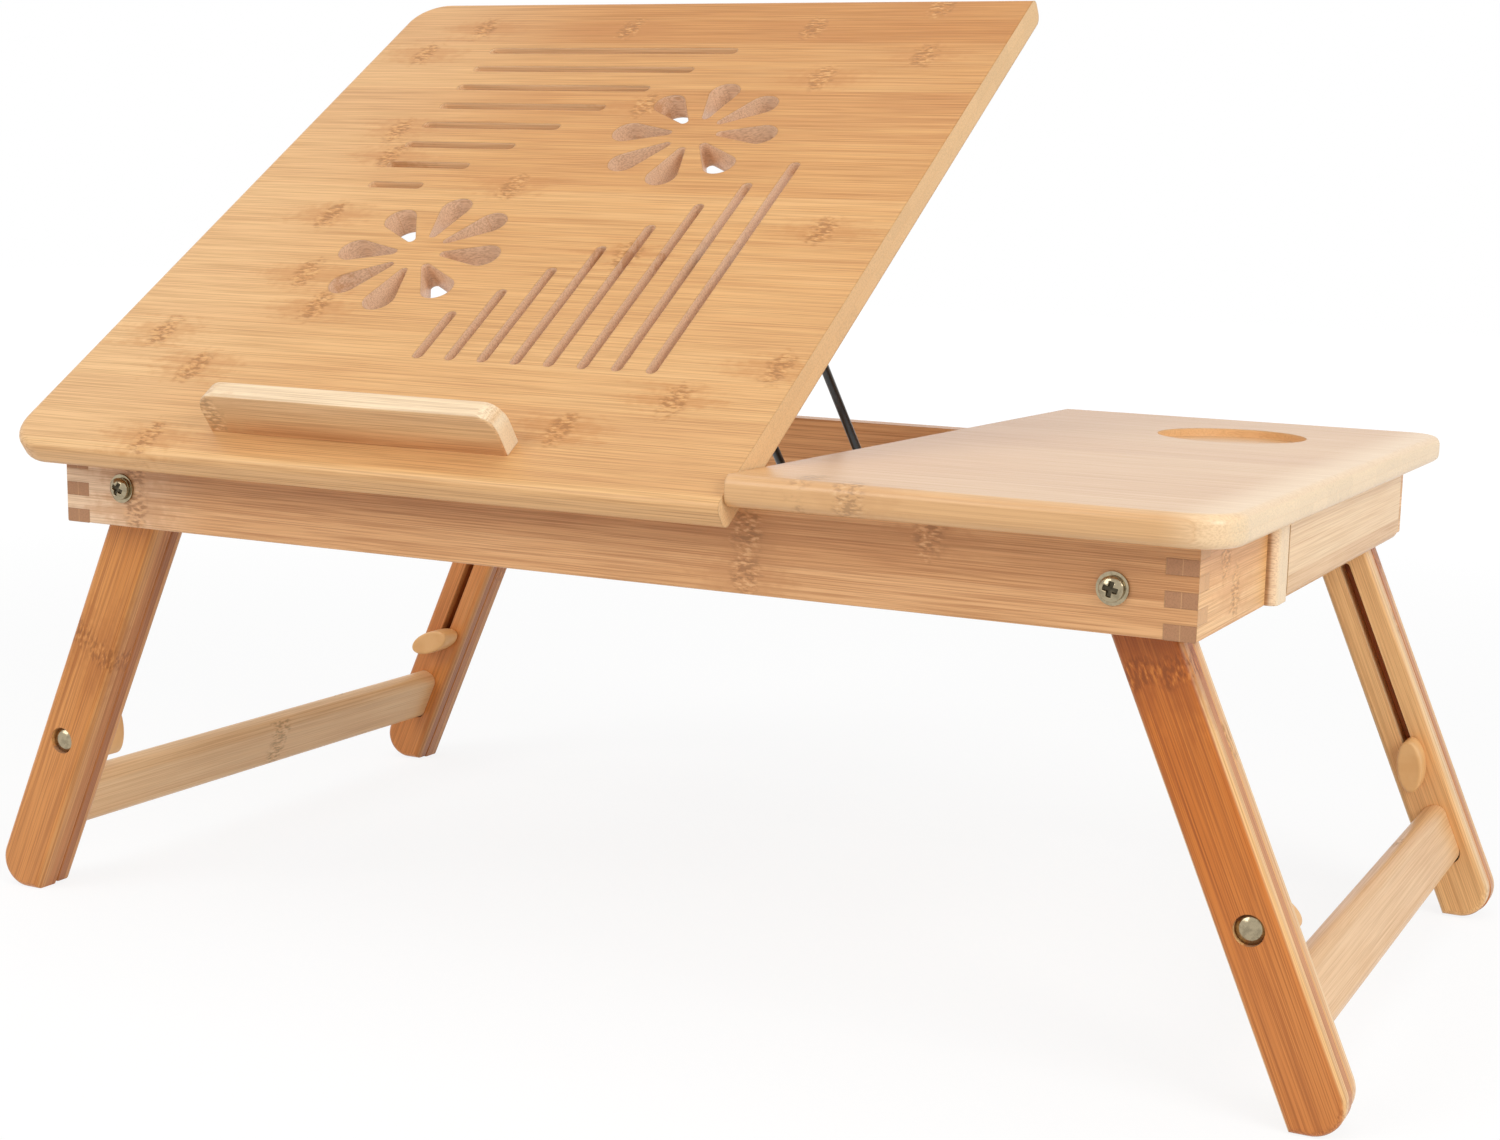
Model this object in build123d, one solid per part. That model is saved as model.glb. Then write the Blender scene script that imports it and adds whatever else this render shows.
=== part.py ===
"""Bamboo laptop bed table: box-jointed apron, tilting vented panel with a wire prop,
fixed side panel with a cup recess over a drawer, and two folding pairs of telescopic legs.
Millimetres, +Z up. The origin is on the floor under the middle of the apron; the drawer
opens towards +X and the front edge faces -Y."""

import os
from math import acos, atan2, cos, degrees, hypot, radians, sin, tan

from build123d import *

# Apron and boards
APRON_LENGTH = 500.0
APRON_DEPTH = 327.0
FINGER_HEIGHT = 5.7
FINGER_COUNT = 6
RAIL_THICK = 12.0
FLOOR_TO_APRON = 173.0
RAIL_ARRIS = 0.8

# Top panels
PANEL_THICK = 12.0
FRONT_OVERHANG = 17.5
BACK_OVERHANG = 16.5
END_OVERHANG = 16.0
FIXED_LENGTH = 189.0
SEAM_GAP = 1.0
PANEL_CORNER = 18.5
PANEL_NOSING = 4.0
TILT_ANGLE = 34.8
CLOSED_GAP = 0.3

# Vents in the tilting panel
SLOT_WIDTH = 5.0
SLOT_COUNT = 8
LONG_SLOT_LEFT = 68.5
LONG_SLOT_FROM_BACK = 47.8
LONG_SLOT_PITCH = 16.9
LONG_SLOT_FIRST = 139.0
LONG_SLOT_STEP = 15.6
CROSS_SLOT_LEFT = 168.2
CROSS_SLOT_FRONT = 72.0
CROSS_SLOT_PITCH = 15.8
CROSS_SLOT_FIRST = 32.0
CROSS_SLOT_STEP = 16.7
PETAL_COUNT = 8
PETAL_INNER = 11.6
PETAL_OUTER = 41.8
PETAL_TIP_RADIUS = 2.0
PETAL_END_RADIUS = 7.5
FLOWERS = ((126.6, 143.9), (217.6, 242.4))

# Page ledge on the tilting panel
LEDGE_LENGTH = 143.0
LEDGE_OFF_MIDDLE = 1.0
LEDGE_FRONT = 17.4
LEDGE_THICK = 9.6
LEDGE_HEIGHT = 18.8
LEDGE_CORNER = 9.0
LEDGE_ARRIS = 1.2
LEDGE_SCREW_SPREAD = 52.0

# Butt hinges
HINGE_LENGTH = 28.0
HINGE_FROM_LEFT = 54.0
HINGE_PAST_LEDGE = 26.0
HINGE_AXIS_OUT = 0.6
LEAF_THICK = 1.2
LEAF_DEPTH = 10.5
BARREL_RADIUS = 2.0
PIN_RADIUS = 0.9
KNUCKLES = 5
KNUCKLE_GAP = 0.25
BARREL_CLEARANCE = 0.35
HINGE_SCREW_SPREAD = 8.0
HINGE_SCREW_IN = 6.2

# Wood screws
SCREW_HEAD_RADIUS = 2.4
SCREW_SHANK_RADIUS = 1.2
HINGE_SCREW_LENGTH = 9.0
LEDGE_SCREW_LENGTH = 24.0

# Wire prop and its rack
WIRE_RADIUS = 2.0
WIRE_BEND = 4.0
PROP_LEAN = 42.5
PROP_FOOT_SHARE = 0.5975
PROP_FOOT_BELOW_HINGE = 13.0
PROP_PIVOT_ABOVE_HINGE = 3.0
PROP_CENTRE_FROM_SEAM = 62.5
PROP_WIDTH = 43.0
PROP_END = 11.0
PROP_POCKET_MARGIN = 4.5
BEARING_LENGTH = 9.0
BEARING_WIDTH = 11.0
BEARING_PROUD = 0.2
BEARING_CLEARANCE = 0.08
RACK_SIDE_GAP = 4.0
RACK_UNDER_CREST = 9.0
RACK_RUN_IN = 38.0
RACK_KNOB_GAP = 2.0
RACK_PAD = 9.0
RACK_CREST_CLEARANCE = 0.5
ARM_OVERLAP = 21.0
RACK_GROOVES = 5
RACK_PITCH = 13.0
RACK_GROOVE_RADIUS = 2.6
RACK_GROOVE_DEPTH = 1.5
SWING_STEPS = 200

# Cross slats
SLAT_THICK = 5.4
SLAT_HOUSING = 6.0
SEAM_SLAT_WIDTH = 24.0
KNOB_RELIEF = 2.2

# Drawer and its housing
STUB_LENGTH = 86.4
STUB_GAP = 2.3
CHEEK_NEAR_THICK = 14.0
CHEEK_FAR_THICK = 12.0
CHEEK_ARRIS = 3.0
FRONT_PROUD = 4.0
DRAWER_POST_GAP = 1.8
DRAWER_FRONT_GAP = 1.5
DRAWER_TOP_GAP = 0.9
DRAWER_FRONT_EDGE = 4.0
DRAWER_FRONT_CORNER = 6.0
CHEEK_KNOB_GAP = 10.0
DRAWER_SIDE_THICK = 8.0
DRAWER_SIDE_HEIGHT = 24.0
DRAWER_BOTTOM_THICK = 4.0
DRAWER_BOTTOM_UP = 3.0
DRAWER_GROOVE = 3.5
DRAWER_REAR_GAP = 4.0
DRAWER_SIDE_GAP = 0.5
RUNNER_WIDTH = 7.0
RUNNER_HEIGHT = 4.2
RUN_CLEARANCE = 0.3
POST_LENGTH = 18.5

# Cup recess
CUP_RADIUS = 33.5
CUP_DEPTH = 3.6
CUP_FROM_RIGHT = 81.0
CUP_FROM_BACK = 83.0

# Legs
LEG_SPLAY = 23.5
LEG_WIDTH = 24.3
OUTER_LEG_THICK = 11.5
INNER_LEG_THICK = 8.5
LEG_RAIL_GAP = 0.5
LAYER_GAP = 0.25
LEG_STOP_GAP = 0.3
PIVOT_FROM_END = 30.5
PIVOT_ABOVE_APRON = 16.2
FOOT_CORNER = 12.5
LEG_ROUND = 3.0
LEG_ARRIS = 0.8
INNER_LEG_START = 12.5
INNER_TOP_CORNER = 5.0
INNER_FOOT_LIFT = 0.8
HEIGHT_BOLT_DOWN = 128.5
LEG_TRAVEL = 95.0
LEG_SLOT_WIDTH = 4.6
CROSSBAR_DOWN = 163.8
CROSSBAR_WIDTH = 27.5
CROSSBAR_THICK = 12.0
CROSSBAR_ROUND = 5.0
CROSSBAR_END_GAP = 0.5
MORTISE_GAP = 0.8

# Pivot bolts
PIVOT_BOLT_RADIUS = 2.5
PIVOT_RUNNING = 0.08
PIVOT_WASHER_RADIUS = 6.0
PIVOT_WASHER_THICK = 1.0
PIVOT_HEAD_RADIUS = 4.6
PIVOT_HEAD_HEIGHT = 3.0
PIVOT_HEAD_CROWN = 1.3
PIVOT_NUT_FLATS = 8.0
PIVOT_NUT_HEIGHT = 4.0
PIVOT_NUT_GAP = 0.2
PIVOT_BOLT_PROUD = 1.0

# Height bolts and thumb knobs
HEIGHT_BOLT_RADIUS = 2.0
HEIGHT_HEAD_RADIUS = 5.3
HEIGHT_HEAD_THICK = 2.6
HEIGHT_SINK_RADIUS = 5.8
HEIGHT_SINK_DEPTH = 3.0
HEIGHT_HEAD_EDGE = 0.9
KNOB_GAP = 0.3
KNOB_COLLAR_RADIUS = 6.5
KNOB_COLLAR_HEIGHT = 4.5
KNOB_LENGTH = 27.0
KNOB_REACH = 20.0
KNOB_THICK = 6.0
KNOB_CORNER = 7.5
KNOB_EDGE = 2.2
KNOB_BORE_DEPTH = 11.0
KNOB_RUNNING = 0.08
KNOB_TURNS = {"right_near": -36.0, "right_far": 23.5, "left_near": 20.0, "left_far": 113.5}

# Derived levels and lines
apron_height = FINGER_HEIGHT * FINGER_COUNT
z_low = FLOOR_TO_APRON
z_top = z_low + apron_height
x_right = APRON_LENGTH / 2
x_left = -x_right
y_back = APRON_DEPTH / 2
y_front = -y_back
panel_front = y_front - FRONT_OVERHANG
panel_back = y_back + BACK_OVERHANG
fixed_right = x_right + END_OVERHANG
fixed_left = fixed_right - FIXED_LENGTH
tilt_right = fixed_left - SEAM_GAP
tilt_left = x_left - END_OVERHANG
panel_low = z_top + CLOSED_GAP
panel_top = panel_low + PANEL_THICK
hinge_y = y_front - HINGE_AXIS_OUT
hinge_z = z_top + CLOSED_GAP / 2
hinge_axis = Axis((0, hinge_y, hinge_z), (1, 0, 0))


def block(x0, x1, y0, y1, z0, z1):
    """Box between two corners."""
    return Pos((x0 + x1) / 2, (y0 + y1) / 2, (z0 + z1) / 2) * Box(x1 - x0, y1 - y0, z1 - z0)


def rod(start, direction, radius, length):
    """Round bar from a start point along a direction."""
    bar = Cylinder(radius, length, align=(Align.CENTER, Align.CENTER, Align.MIN))
    return Plane(start, z_dir=direction) * bar


def wood_screw(start, direction, length):
    """Countersunk screw whose flat head begins at the start point."""
    head_depth = SCREW_HEAD_RADIUS - SCREW_SHANK_RADIUS
    seat = Plane(start, z_dir=direction)
    head = seat * Cone(SCREW_HEAD_RADIUS, SCREW_SHANK_RADIUS, head_depth,
                       align=(Align.CENTER, Align.CENTER, Align.MIN))
    return head + rod(start, direction, SCREW_SHANK_RADIUS, length)


def mirrored(solid, left=False, far=False):
    """Copy of a right-hand near piece for another corner of the table."""
    if left:
        solid = mirror(solid, Plane.YZ)
    if far:
        solid = mirror(solid, Plane.XZ)
    return solid


def tilted(solid):
    """Closed-panel position turned up to the angle of use."""
    return solid.rotate(hinge_axis, TILT_ANGLE)


def save(name, *solids):
    """Write one node, a group of equal solids included."""
    bodies = [body for solid in solids for body in solid.solids()]
    shape = bodies[0] if len(bodies) == 1 else Compound(bodies)
    shape.label = name
    export_step(shape, "parts/" + name + ".step")


def finger_cut(x0, x1, y0, y1, first):
    """Every second finger level of a box joint, from the first level up."""
    cut = Part()
    for level in range(first, FINGER_COUNT, 2):
        low = z_low + level * FINGER_HEIGHT
        cut += block(x0, x1, y0, y1, low, low + FINGER_HEIGHT)
    return cut


# Cross slat under the seam of the two panels
seam_slat_left = tilt_right - SEAM_SLAT_WIDTH / 2
seam_slat_right = seam_slat_left + SEAM_SLAT_WIDTH
slat_low = z_top - SLAT_THICK
slat_end = y_back - RAIL_THICK + SLAT_HOUSING
slat_housings = block(seam_slat_left, seam_slat_right, -slat_end, slat_end, slat_low, z_top)

# Hinges, closed
ledge_middle = (tilt_left + tilt_right) / 2 + LEDGE_OFF_MIDDLE
hinge_centres = [tilt_left + HINGE_FROM_LEFT, ledge_middle + HINGE_PAST_LEDGE]
knuckle_pitch = HINGE_LENGTH / KNUCKLES
leaf_back = y_front + LEAF_DEPTH
lower_leaves = []
upper_leaves = []
hinge_pins = []
lower_screws = []
upper_screws = []
rail_hinge_cut = Part()
panel_hinge_cut = Part()
for centre in hinge_centres:
    start = centre - HINGE_LENGTH / 2
    end = centre + HINGE_LENGTH / 2
    lower = block(start, end, hinge_y, leaf_back, z_top - LEAF_THICK, z_top)
    upper = block(start, end, hinge_y, leaf_back, panel_low, panel_low + LEAF_THICK)
    barrel_space = rod((start - BARREL_CLEARANCE, hinge_y, hinge_z), (1, 0, 0),
                       BARREL_RADIUS + BARREL_CLEARANCE, HINGE_LENGTH + 2 * BARREL_CLEARANCE)
    rail_hinge_cut += lower + barrel_space
    panel_hinge_cut += upper + barrel_space
    for index in range(KNUCKLES):
        inset = 0 if index == 0 else KNUCKLE_GAP / 2
        outset = 0 if index == KNUCKLES - 1 else KNUCKLE_GAP / 2
        knuckle_start = start + index * knuckle_pitch
        length = knuckle_pitch - inset - outset
        knuckle = rod((knuckle_start + inset, hinge_y, hinge_z), (1, 0, 0), BARREL_RADIUS, length)
        room = rod((knuckle_start - outset, hinge_y, hinge_z), (1, 0, 0),
                   BARREL_RADIUS + BARREL_CLEARANCE, knuckle_pitch + inset + outset)
        if index % 2 == 0:
            upper -= room
            lower += knuckle
        else:
            lower -= room
            upper += knuckle
    pin = rod((start, hinge_y, hinge_z), (1, 0, 0), PIN_RADIUS, HINGE_LENGTH)
    lower -= pin
    upper -= rod((start, hinge_y, hinge_z), (1, 0, 0), PIN_RADIUS + BEARING_CLEARANCE, HINGE_LENGTH)
    for side in (-1, 1):
        screw_x = centre + side * HINGE_SCREW_SPREAD
        screw_y = y_front + HINGE_SCREW_IN
        down = wood_screw((screw_x, screw_y, z_top), (0, 0, -1), HINGE_SCREW_LENGTH)
        up = wood_screw((screw_x, screw_y, panel_low), (0, 0, 1), HINGE_SCREW_LENGTH)
        lower -= down
        upper -= up
        rail_hinge_cut += down
        panel_hinge_cut += up
        lower_screws.append(down)
        upper_screws.append(up)
    lower_leaves.append(lower)
    upper_leaves.append(upper)
    hinge_pins.append(pin)

# Pivot bolts of the legs
pivot_x = x_right - PIVOT_FROM_END
pivot_z = z_low + PIVOT_ABOVE_APRON
rail_inner = y_front + RAIL_THICK
outer_leg_near = rail_inner + LEG_RAIL_GAP
outer_leg_far = outer_leg_near + OUTER_LEG_THICK
inner_leg_near = outer_leg_far + LAYER_GAP
inner_leg_far = inner_leg_near + INNER_LEG_THICK
nut_face = outer_leg_far + PIVOT_NUT_GAP
bolt_end = nut_face + PIVOT_WASHER_THICK + PIVOT_NUT_HEIGHT + PIVOT_BOLT_PROUD
washer_face = y_front - PIVOT_WASHER_THICK


def pivot_at(y):
    """Point on the right near pivot line."""
    return (pivot_x, y, pivot_z)


pivot_shank = rod(pivot_at(washer_face), (0, 1, 0), PIVOT_BOLT_RADIUS, bolt_end - washer_face)
pivot_head = rod(pivot_at(washer_face), (0, -1, 0), PIVOT_HEAD_RADIUS, PIVOT_HEAD_HEIGHT)
head_rim = pivot_head.faces().sort_by(Axis.Y)[0].edges()
pivot_head = fillet(head_rim, PIVOT_HEAD_CROWN)
pivot_bolt = pivot_shank + pivot_head
pivot_washer = rod(pivot_at(washer_face), (0, 1, 0), PIVOT_WASHER_RADIUS, PIVOT_WASHER_THICK) - pivot_shank
nut_washer = rod(pivot_at(nut_face), (0, 1, 0), PIVOT_WASHER_RADIUS, PIVOT_WASHER_THICK)
nut_plane = Plane(pivot_at(nut_face + PIVOT_WASHER_THICK), x_dir=(1, 0, 0), z_dir=(0, 1, 0))
nut_hex = RegularPolygon(PIVOT_NUT_FLATS / 2, 6, major_radius=False)
pivot_nut = nut_washer + extrude(nut_plane * nut_hex, PIVOT_NUT_HEIGHT) - pivot_shank

# Line of the legs
splay = radians(LEG_SPLAY)
leg_half = LEG_WIDTH / 2
leg_down = (sin(splay), 0, -cos(splay))


def leg_plane(y):
    """Plane of one leg face: x runs down the leg from the pivot, y outwards, z to the near side."""
    return Plane(pivot_at(y), x_dir=leg_down, z_dir=(0, -1, 0))


def foot_reach(across, lift):
    """Distance down the leg to its level foot cut, at an offset across the leg."""
    return (pivot_z - lift + across * sin(splay)) / cos(splay)


def leg_point(down, y):
    """Point on the leg's centre line."""
    return (pivot_x + down * sin(splay), y, pivot_z - down * cos(splay))


# Room for the sides of the opened legs, which rest against the ends of the apron
room_profile = Pos(apron_height / 2, 0) * Rectangle(apron_height, LEG_WIDTH + 2 * LEG_STOP_GAP)
room_far = inner_leg_far + LEG_RAIL_GAP
leg_room = leg_plane(room_far) * extrude(room_profile, room_far - rail_inner)

# Apron rails
front_rail = block(x_left, x_right, y_front, rail_inner, z_low, z_top)
front_low_edges = front_rail.edges().filter_by(Axis.X).group_by(Axis.Z)[0]
front_rail = fillet(front_low_edges, RAIL_ARRIS)
front_rail -= finger_cut(x_left, x_left + RAIL_THICK, y_front, rail_inner, 0)
front_rail -= finger_cut(x_right - RAIL_THICK, x_right, y_front, rail_inner, 0)
pivot_holes = pivot_shank + mirrored(pivot_shank, left=True)
front_rail -= pivot_holes
rear_rail = mirrored(front_rail, far=True) - slat_housings
front_rail = front_rail - slat_housings - rail_hinge_cut

end_rail = block(x_left, x_left + RAIL_THICK, y_front, y_back, z_low, z_top)
end_low_edges = end_rail.edges().filter_by(Axis.Y).group_by(Axis.Z)[0]
end_rail = fillet(end_low_edges, RAIL_ARRIS)
near_fingers = finger_cut(x_left, x_left + RAIL_THICK, y_front, rail_inner, 1)
end_rail -= near_fingers
end_rail -= mirrored(near_fingers, far=True)
end_rail = end_rail - mirrored(leg_room, left=True) - mirrored(leg_room, left=True, far=True)

stub_end = y_front + STUB_LENGTH
front_stub = block(x_right - RAIL_THICK, x_right, y_front, stub_end, z_low, z_top)
front_stub = fillet(front_stub.edges().filter_by(Axis.Y).group_by(Axis.Z)[0], RAIL_ARRIS)
front_stub = front_stub - mirrored(near_fingers, left=True) - leg_room
rear_post = block(x_right - RAIL_THICK, x_right, y_back - POST_LENGTH, y_back, z_low, z_top)
rear_post = fillet(rear_post.edges().filter_by(Axis.Y).group_by(Axis.Z)[0], RAIL_ARRIS)
rear_post = rear_post - mirrored(near_fingers, left=True, far=True) - mirrored(leg_room, far=True)

# Prop linkage, worked out in the plane of the swing
tilt = radians(TILT_ANGLE)
foot_y = y_front + PROP_FOOT_SHARE * APRON_DEPTH
foot_z = hinge_z - PROP_FOOT_BELOW_HINGE
rise_per_back = 1 / tan(radians(PROP_LEAN))
offset_y = hinge_y - PROP_PIVOT_ABOVE_HINGE * sin(tilt)
offset_z = hinge_z + PROP_PIVOT_ABOVE_HINGE * cos(tilt)
foot_rise = foot_z + (foot_y - offset_y) * rise_per_back - offset_z
pivot_reach = foot_rise / (sin(tilt) + cos(tilt) * rise_per_back)
prop_pivot_y = offset_y + pivot_reach * cos(tilt)
prop_pivot_z = offset_z + pivot_reach * sin(tilt)
prop_length = hypot(foot_y - prop_pivot_y, foot_z - prop_pivot_z)
prop_rest_angle = degrees(atan2(foot_z - prop_pivot_z, foot_y - prop_pivot_y))
prop_fold = TILT_ANGLE - prop_rest_angle


def foot_height(fraction):
    """Height of the wire's foot while panel and prop close together; 1 is open, 0 closed."""
    panel = tilt * fraction
    swing = radians(prop_rest_angle) * fraction
    lift = pivot_reach * sin(panel) + PROP_PIVOT_ABOVE_HINGE * cos(panel)
    return hinge_z + lift + prop_length * sin(swing)


path_low = min(foot_height(step / SWING_STEPS) for step in range(SWING_STEPS + 1))
rack_crest = path_low - WIRE_RADIUS - RACK_CREST_CLEARANCE / 2

# Wire prop, drawn folded in the closed panel
prop_x = tilt_right - PROP_CENTRE_FROM_SEAM
folded_pivot_y = hinge_y + pivot_reach
folded_z = hinge_z + PROP_PIVOT_ABOVE_HINGE
wire_left = prop_x - PROP_WIDTH / 2
wire_right = prop_x + PROP_WIDTH / 2
folded_foot_y = folded_pivot_y + prop_length
wire_points = [(wire_left + PROP_END, folded_pivot_y), (wire_left, folded_pivot_y),
               (wire_left, folded_foot_y), (wire_right, folded_foot_y),
               (wire_right, folded_pivot_y), (wire_right - PROP_END, folded_pivot_y)]
wire_line = FilletPolyline(*[(x, y, folded_z) for x, y in wire_points], radius=WIRE_BEND)
wire_start = Plane(wire_line @ 0, z_dir=wire_line % 0)
prop_folded = sweep(wire_start * Circle(WIRE_RADIUS), path=wire_line)

# Bearing blocks that hold the wire's turned-in ends
pocket_half = PROP_WIDTH / 2 + WIRE_RADIUS + PROP_POCKET_MARGIN
pocket_front = folded_pivot_y - BEARING_WIDTH / 2 - PROP_POCKET_MARGIN / 2
pocket_back = folded_foot_y + WIRE_RADIUS + PROP_POCKET_MARGIN
pocket_top = folded_z + WIRE_RADIUS + 2 * RUN_CLEARANCE
pocket = block(prop_x - pocket_half, prop_x + pocket_half, pocket_front, pocket_back,
               panel_low, pocket_top)
pocket = fillet(pocket.edges().filter_by(Axis.Z), PROP_POCKET_MARGIN)
bearing_inner = PROP_WIDTH / 2 - PROP_END - BEARING_CLEARANCE
bearing_bore = rod((wire_left, folded_pivot_y, folded_z), (1, 0, 0),
                   WIRE_RADIUS + BEARING_CLEARANCE, PROP_WIDTH)
bearings = []
for side in (-1, 1):
    inner = prop_x + side * (bearing_inner - 2 * WIRE_RADIUS)
    outer = inner + side * BEARING_LENGTH
    low_y = folded_pivot_y - BEARING_WIDTH / 2
    bearing = block(min(inner, outer), max(inner, outer), low_y, low_y + BEARING_WIDTH,
                    panel_low - BEARING_PROUD, pocket_top)
    bearing = fillet(bearing.edges().filter_by(Axis.Z), RAIL_ARRIS)
    bearings.append(bearing - bearing_bore)

# Seam slat, and the grooved rack that hangs from it on two arms
seam_slat = block(seam_slat_left, seam_slat_right, -slat_end, slat_end, slat_low, z_top)
knob_near = inner_leg_far - KNOB_GAP
knob_far = inner_leg_far + KNOB_REACH + 2 * KNOB_GAP
knob_space = block(seam_slat_left, seam_slat_right, knob_near, knob_far, slat_low, slat_low + KNOB_RELIEF)
seam_slat = seam_slat - knob_space - mirrored(knob_space, far=True)

rack_half = PROP_WIDTH / 2 - WIRE_RADIUS - RACK_SIDE_GAP
rack_left = prop_x - rack_half
rack_right = prop_x + rack_half
rack_near = foot_y - RACK_RUN_IN
rack_far = -knob_far - RACK_KNOB_GAP
arm_low = slat_low - SLAT_THICK
prop_rack = block(rack_left, rack_right, rack_near, rack_far, rack_crest - RACK_UNDER_CREST, arm_low)
prop_rack -= block(rack_left, rack_right, rack_near + RACK_PAD, rack_far - RACK_PAD, rack_crest, arm_low)
groove_rise = RACK_GROOVE_RADIUS - RACK_GROOVE_DEPTH
for index in range(RACK_GROOVES):
    groove_y = foot_y + (index - RACK_GROOVES // 2) * RACK_PITCH
    prop_rack -= rod((rack_left, groove_y, rack_crest + groove_rise), (1, 0, 0),
                     RACK_GROOVE_RADIUS, rack_right - rack_left)
arm_left = rack_right - ARM_OVERLAP
arm_near = block(arm_left, seam_slat_right, rack_near, rack_near + RACK_PAD, arm_low, slat_low)
arm_far = block(arm_left, seam_slat_right, rack_far - RACK_PAD, rack_far, arm_low, slat_low)

# Tilting panel, closed
tilt_panel = block(tilt_left, tilt_right, panel_front, panel_back, panel_low, panel_top)
tilt_panel = fillet(tilt_panel.edges().filter_by(Axis.Z).group_by(Axis.X)[0], PANEL_CORNER)
tilt_rim = tilt_panel.edges().group_by(Axis.Z)
tilt_rim = [edge for edge in tilt_rim[0] + tilt_rim[-1] if edge.center().X < tilt_right - SEAM_GAP]
tilt_panel = fillet(tilt_rim, PANEL_NOSING)

vents = Sketch()
for index in range(SLOT_COUNT):
    length = LONG_SLOT_FIRST - index * LONG_SLOT_STEP
    slot_y = panel_back - LONG_SLOT_FROM_BACK - index * LONG_SLOT_PITCH
    vents += Pos(tilt_left + LONG_SLOT_LEFT + length / 2, slot_y) * SlotOverall(length, SLOT_WIDTH)
    length = CROSS_SLOT_FIRST + index * CROSS_SLOT_STEP
    slot_x = tilt_left + CROSS_SLOT_LEFT + index * CROSS_SLOT_PITCH
    cross_slot = SlotOverall(length, SLOT_WIDTH, rotation=90)
    vents += Pos(slot_x, panel_front + CROSS_SLOT_FRONT + length / 2) * cross_slot
petal_base = PETAL_INNER + PETAL_TIP_RADIUS
petal_end = PETAL_OUTER - PETAL_END_RADIUS
petal_slope = acos((PETAL_END_RADIUS - PETAL_TIP_RADIUS) / (petal_end - petal_base))
tip_x = petal_base - PETAL_TIP_RADIUS * cos(petal_slope)
tip_y = PETAL_TIP_RADIUS * sin(petal_slope)
end_x = petal_end - PETAL_END_RADIUS * cos(petal_slope)
end_y = PETAL_END_RADIUS * sin(petal_slope)
petal = Polygon((tip_x, -tip_y), (end_x, -end_y), (end_x, end_y), (tip_x, tip_y), align=None)
petal += Pos(petal_base, 0) * Circle(PETAL_TIP_RADIUS)
petal += Pos(petal_end, 0) * Circle(PETAL_END_RADIUS)
for from_left, from_front in FLOWERS:
    for index in range(PETAL_COUNT):
        turn = Rot(0, 0, 360 / PETAL_COUNT * index)
        vents += Pos(tilt_left + from_left, panel_front + from_front) * turn * petal
tilt_panel -= extrude(Pos(0, 0, panel_low) * vents, PANEL_THICK)
tilt_panel = tilt_panel - panel_hinge_cut - pocket

# Page ledge with its screws
ledge_left = ledge_middle - LEDGE_LENGTH / 2
ledge_front = panel_front + LEDGE_FRONT
ledge = block(ledge_left, ledge_left + LEDGE_LENGTH, ledge_front, ledge_front + LEDGE_THICK,
              panel_top, panel_top + LEDGE_HEIGHT)
ledge = fillet(ledge.edges().filter_by(Axis.Y).group_by(Axis.Z)[-1], LEDGE_CORNER)
ledge_rim = [edge for edge in ledge.edges() if edge.center().Z > panel_top + LEDGE_ARRIS]
ledge_line = ledge_front + LEDGE_THICK / 2
ledge_rim = [edge for edge in ledge_rim if abs(edge.center().Y - ledge_line) > LEDGE_THICK / 4]
ledge = fillet(ledge_rim, LEDGE_ARRIS)
ledge_screws = []
for side in (-1, 1):
    screw_x = ledge_middle + side * LEDGE_SCREW_SPREAD
    screw = wood_screw((screw_x, ledge_line, panel_low), (0, 0, 1), LEDGE_SCREW_LENGTH)
    ledge_screws.append(screw)
    ledge -= screw
    tilt_panel -= screw

# Fixed panel with the cup recess
fixed_top = block(fixed_left, fixed_right, panel_front, panel_back, z_top, z_top + PANEL_THICK)
fixed_top = fillet(fixed_top.edges().filter_by(Axis.Z).group_by(Axis.X)[-1], PANEL_CORNER)
fixed_rim = fixed_top.edges().group_by(Axis.Z)
fixed_rim = [edge for edge in fixed_rim[0] + fixed_rim[-1] if edge.center().X > fixed_left + SEAM_GAP]
fixed_top = fillet(fixed_rim, PANEL_NOSING)
cup_floor = z_top + PANEL_THICK - CUP_DEPTH
cup_x = fixed_right - CUP_FROM_RIGHT
fixed_top -= rod((cup_x, panel_back - CUP_FROM_BACK, cup_floor), (0, 0, 1), CUP_RADIUS, CUP_DEPTH)

# Drawer housing
cheek_near_y = stub_end + STUB_GAP
cheek_inner = cheek_near_y + CHEEK_NEAR_THICK
front_face = x_right + FRONT_PROUD
drawer_front_back = front_face - RAIL_THICK
divider_left = seam_slat_right
divider_right = divider_left + RAIL_THICK
cheek_far_outer = -knob_far - CHEEK_KNOB_GAP
cheek_far_inner = cheek_far_outer - CHEEK_FAR_THICK
drawer_near = cheek_inner + DRAWER_SIDE_GAP
drawer_far = cheek_far_inner - DRAWER_SIDE_GAP
housing_right = drawer_front_back - DRAWER_SIDE_GAP
cheek_near = block(divider_left, front_face, cheek_near_y, cheek_inner, z_low, z_top)
cheek_round = cheek_near.edges().filter_by(Axis.Z).group_by(Axis.X)[-1].sort_by(Axis.Y)[0]
cheek_near = fillet(cheek_round, CHEEK_ARRIS)
cheek_far = block(divider_left, housing_right, cheek_far_inner, cheek_far_outer, z_low, z_top)
divider = block(divider_left, divider_right, cheek_inner, cheek_far_inner, z_low, z_top)
runner_top = z_low + RUNNER_HEIGHT
runner_near = block(divider_right, housing_right, cheek_inner, cheek_inner + RUNNER_WIDTH, z_low, runner_top)
runner_far = block(divider_right, housing_right, cheek_far_inner - RUNNER_WIDTH, cheek_far_inner,
                   z_low, runner_top)

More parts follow.
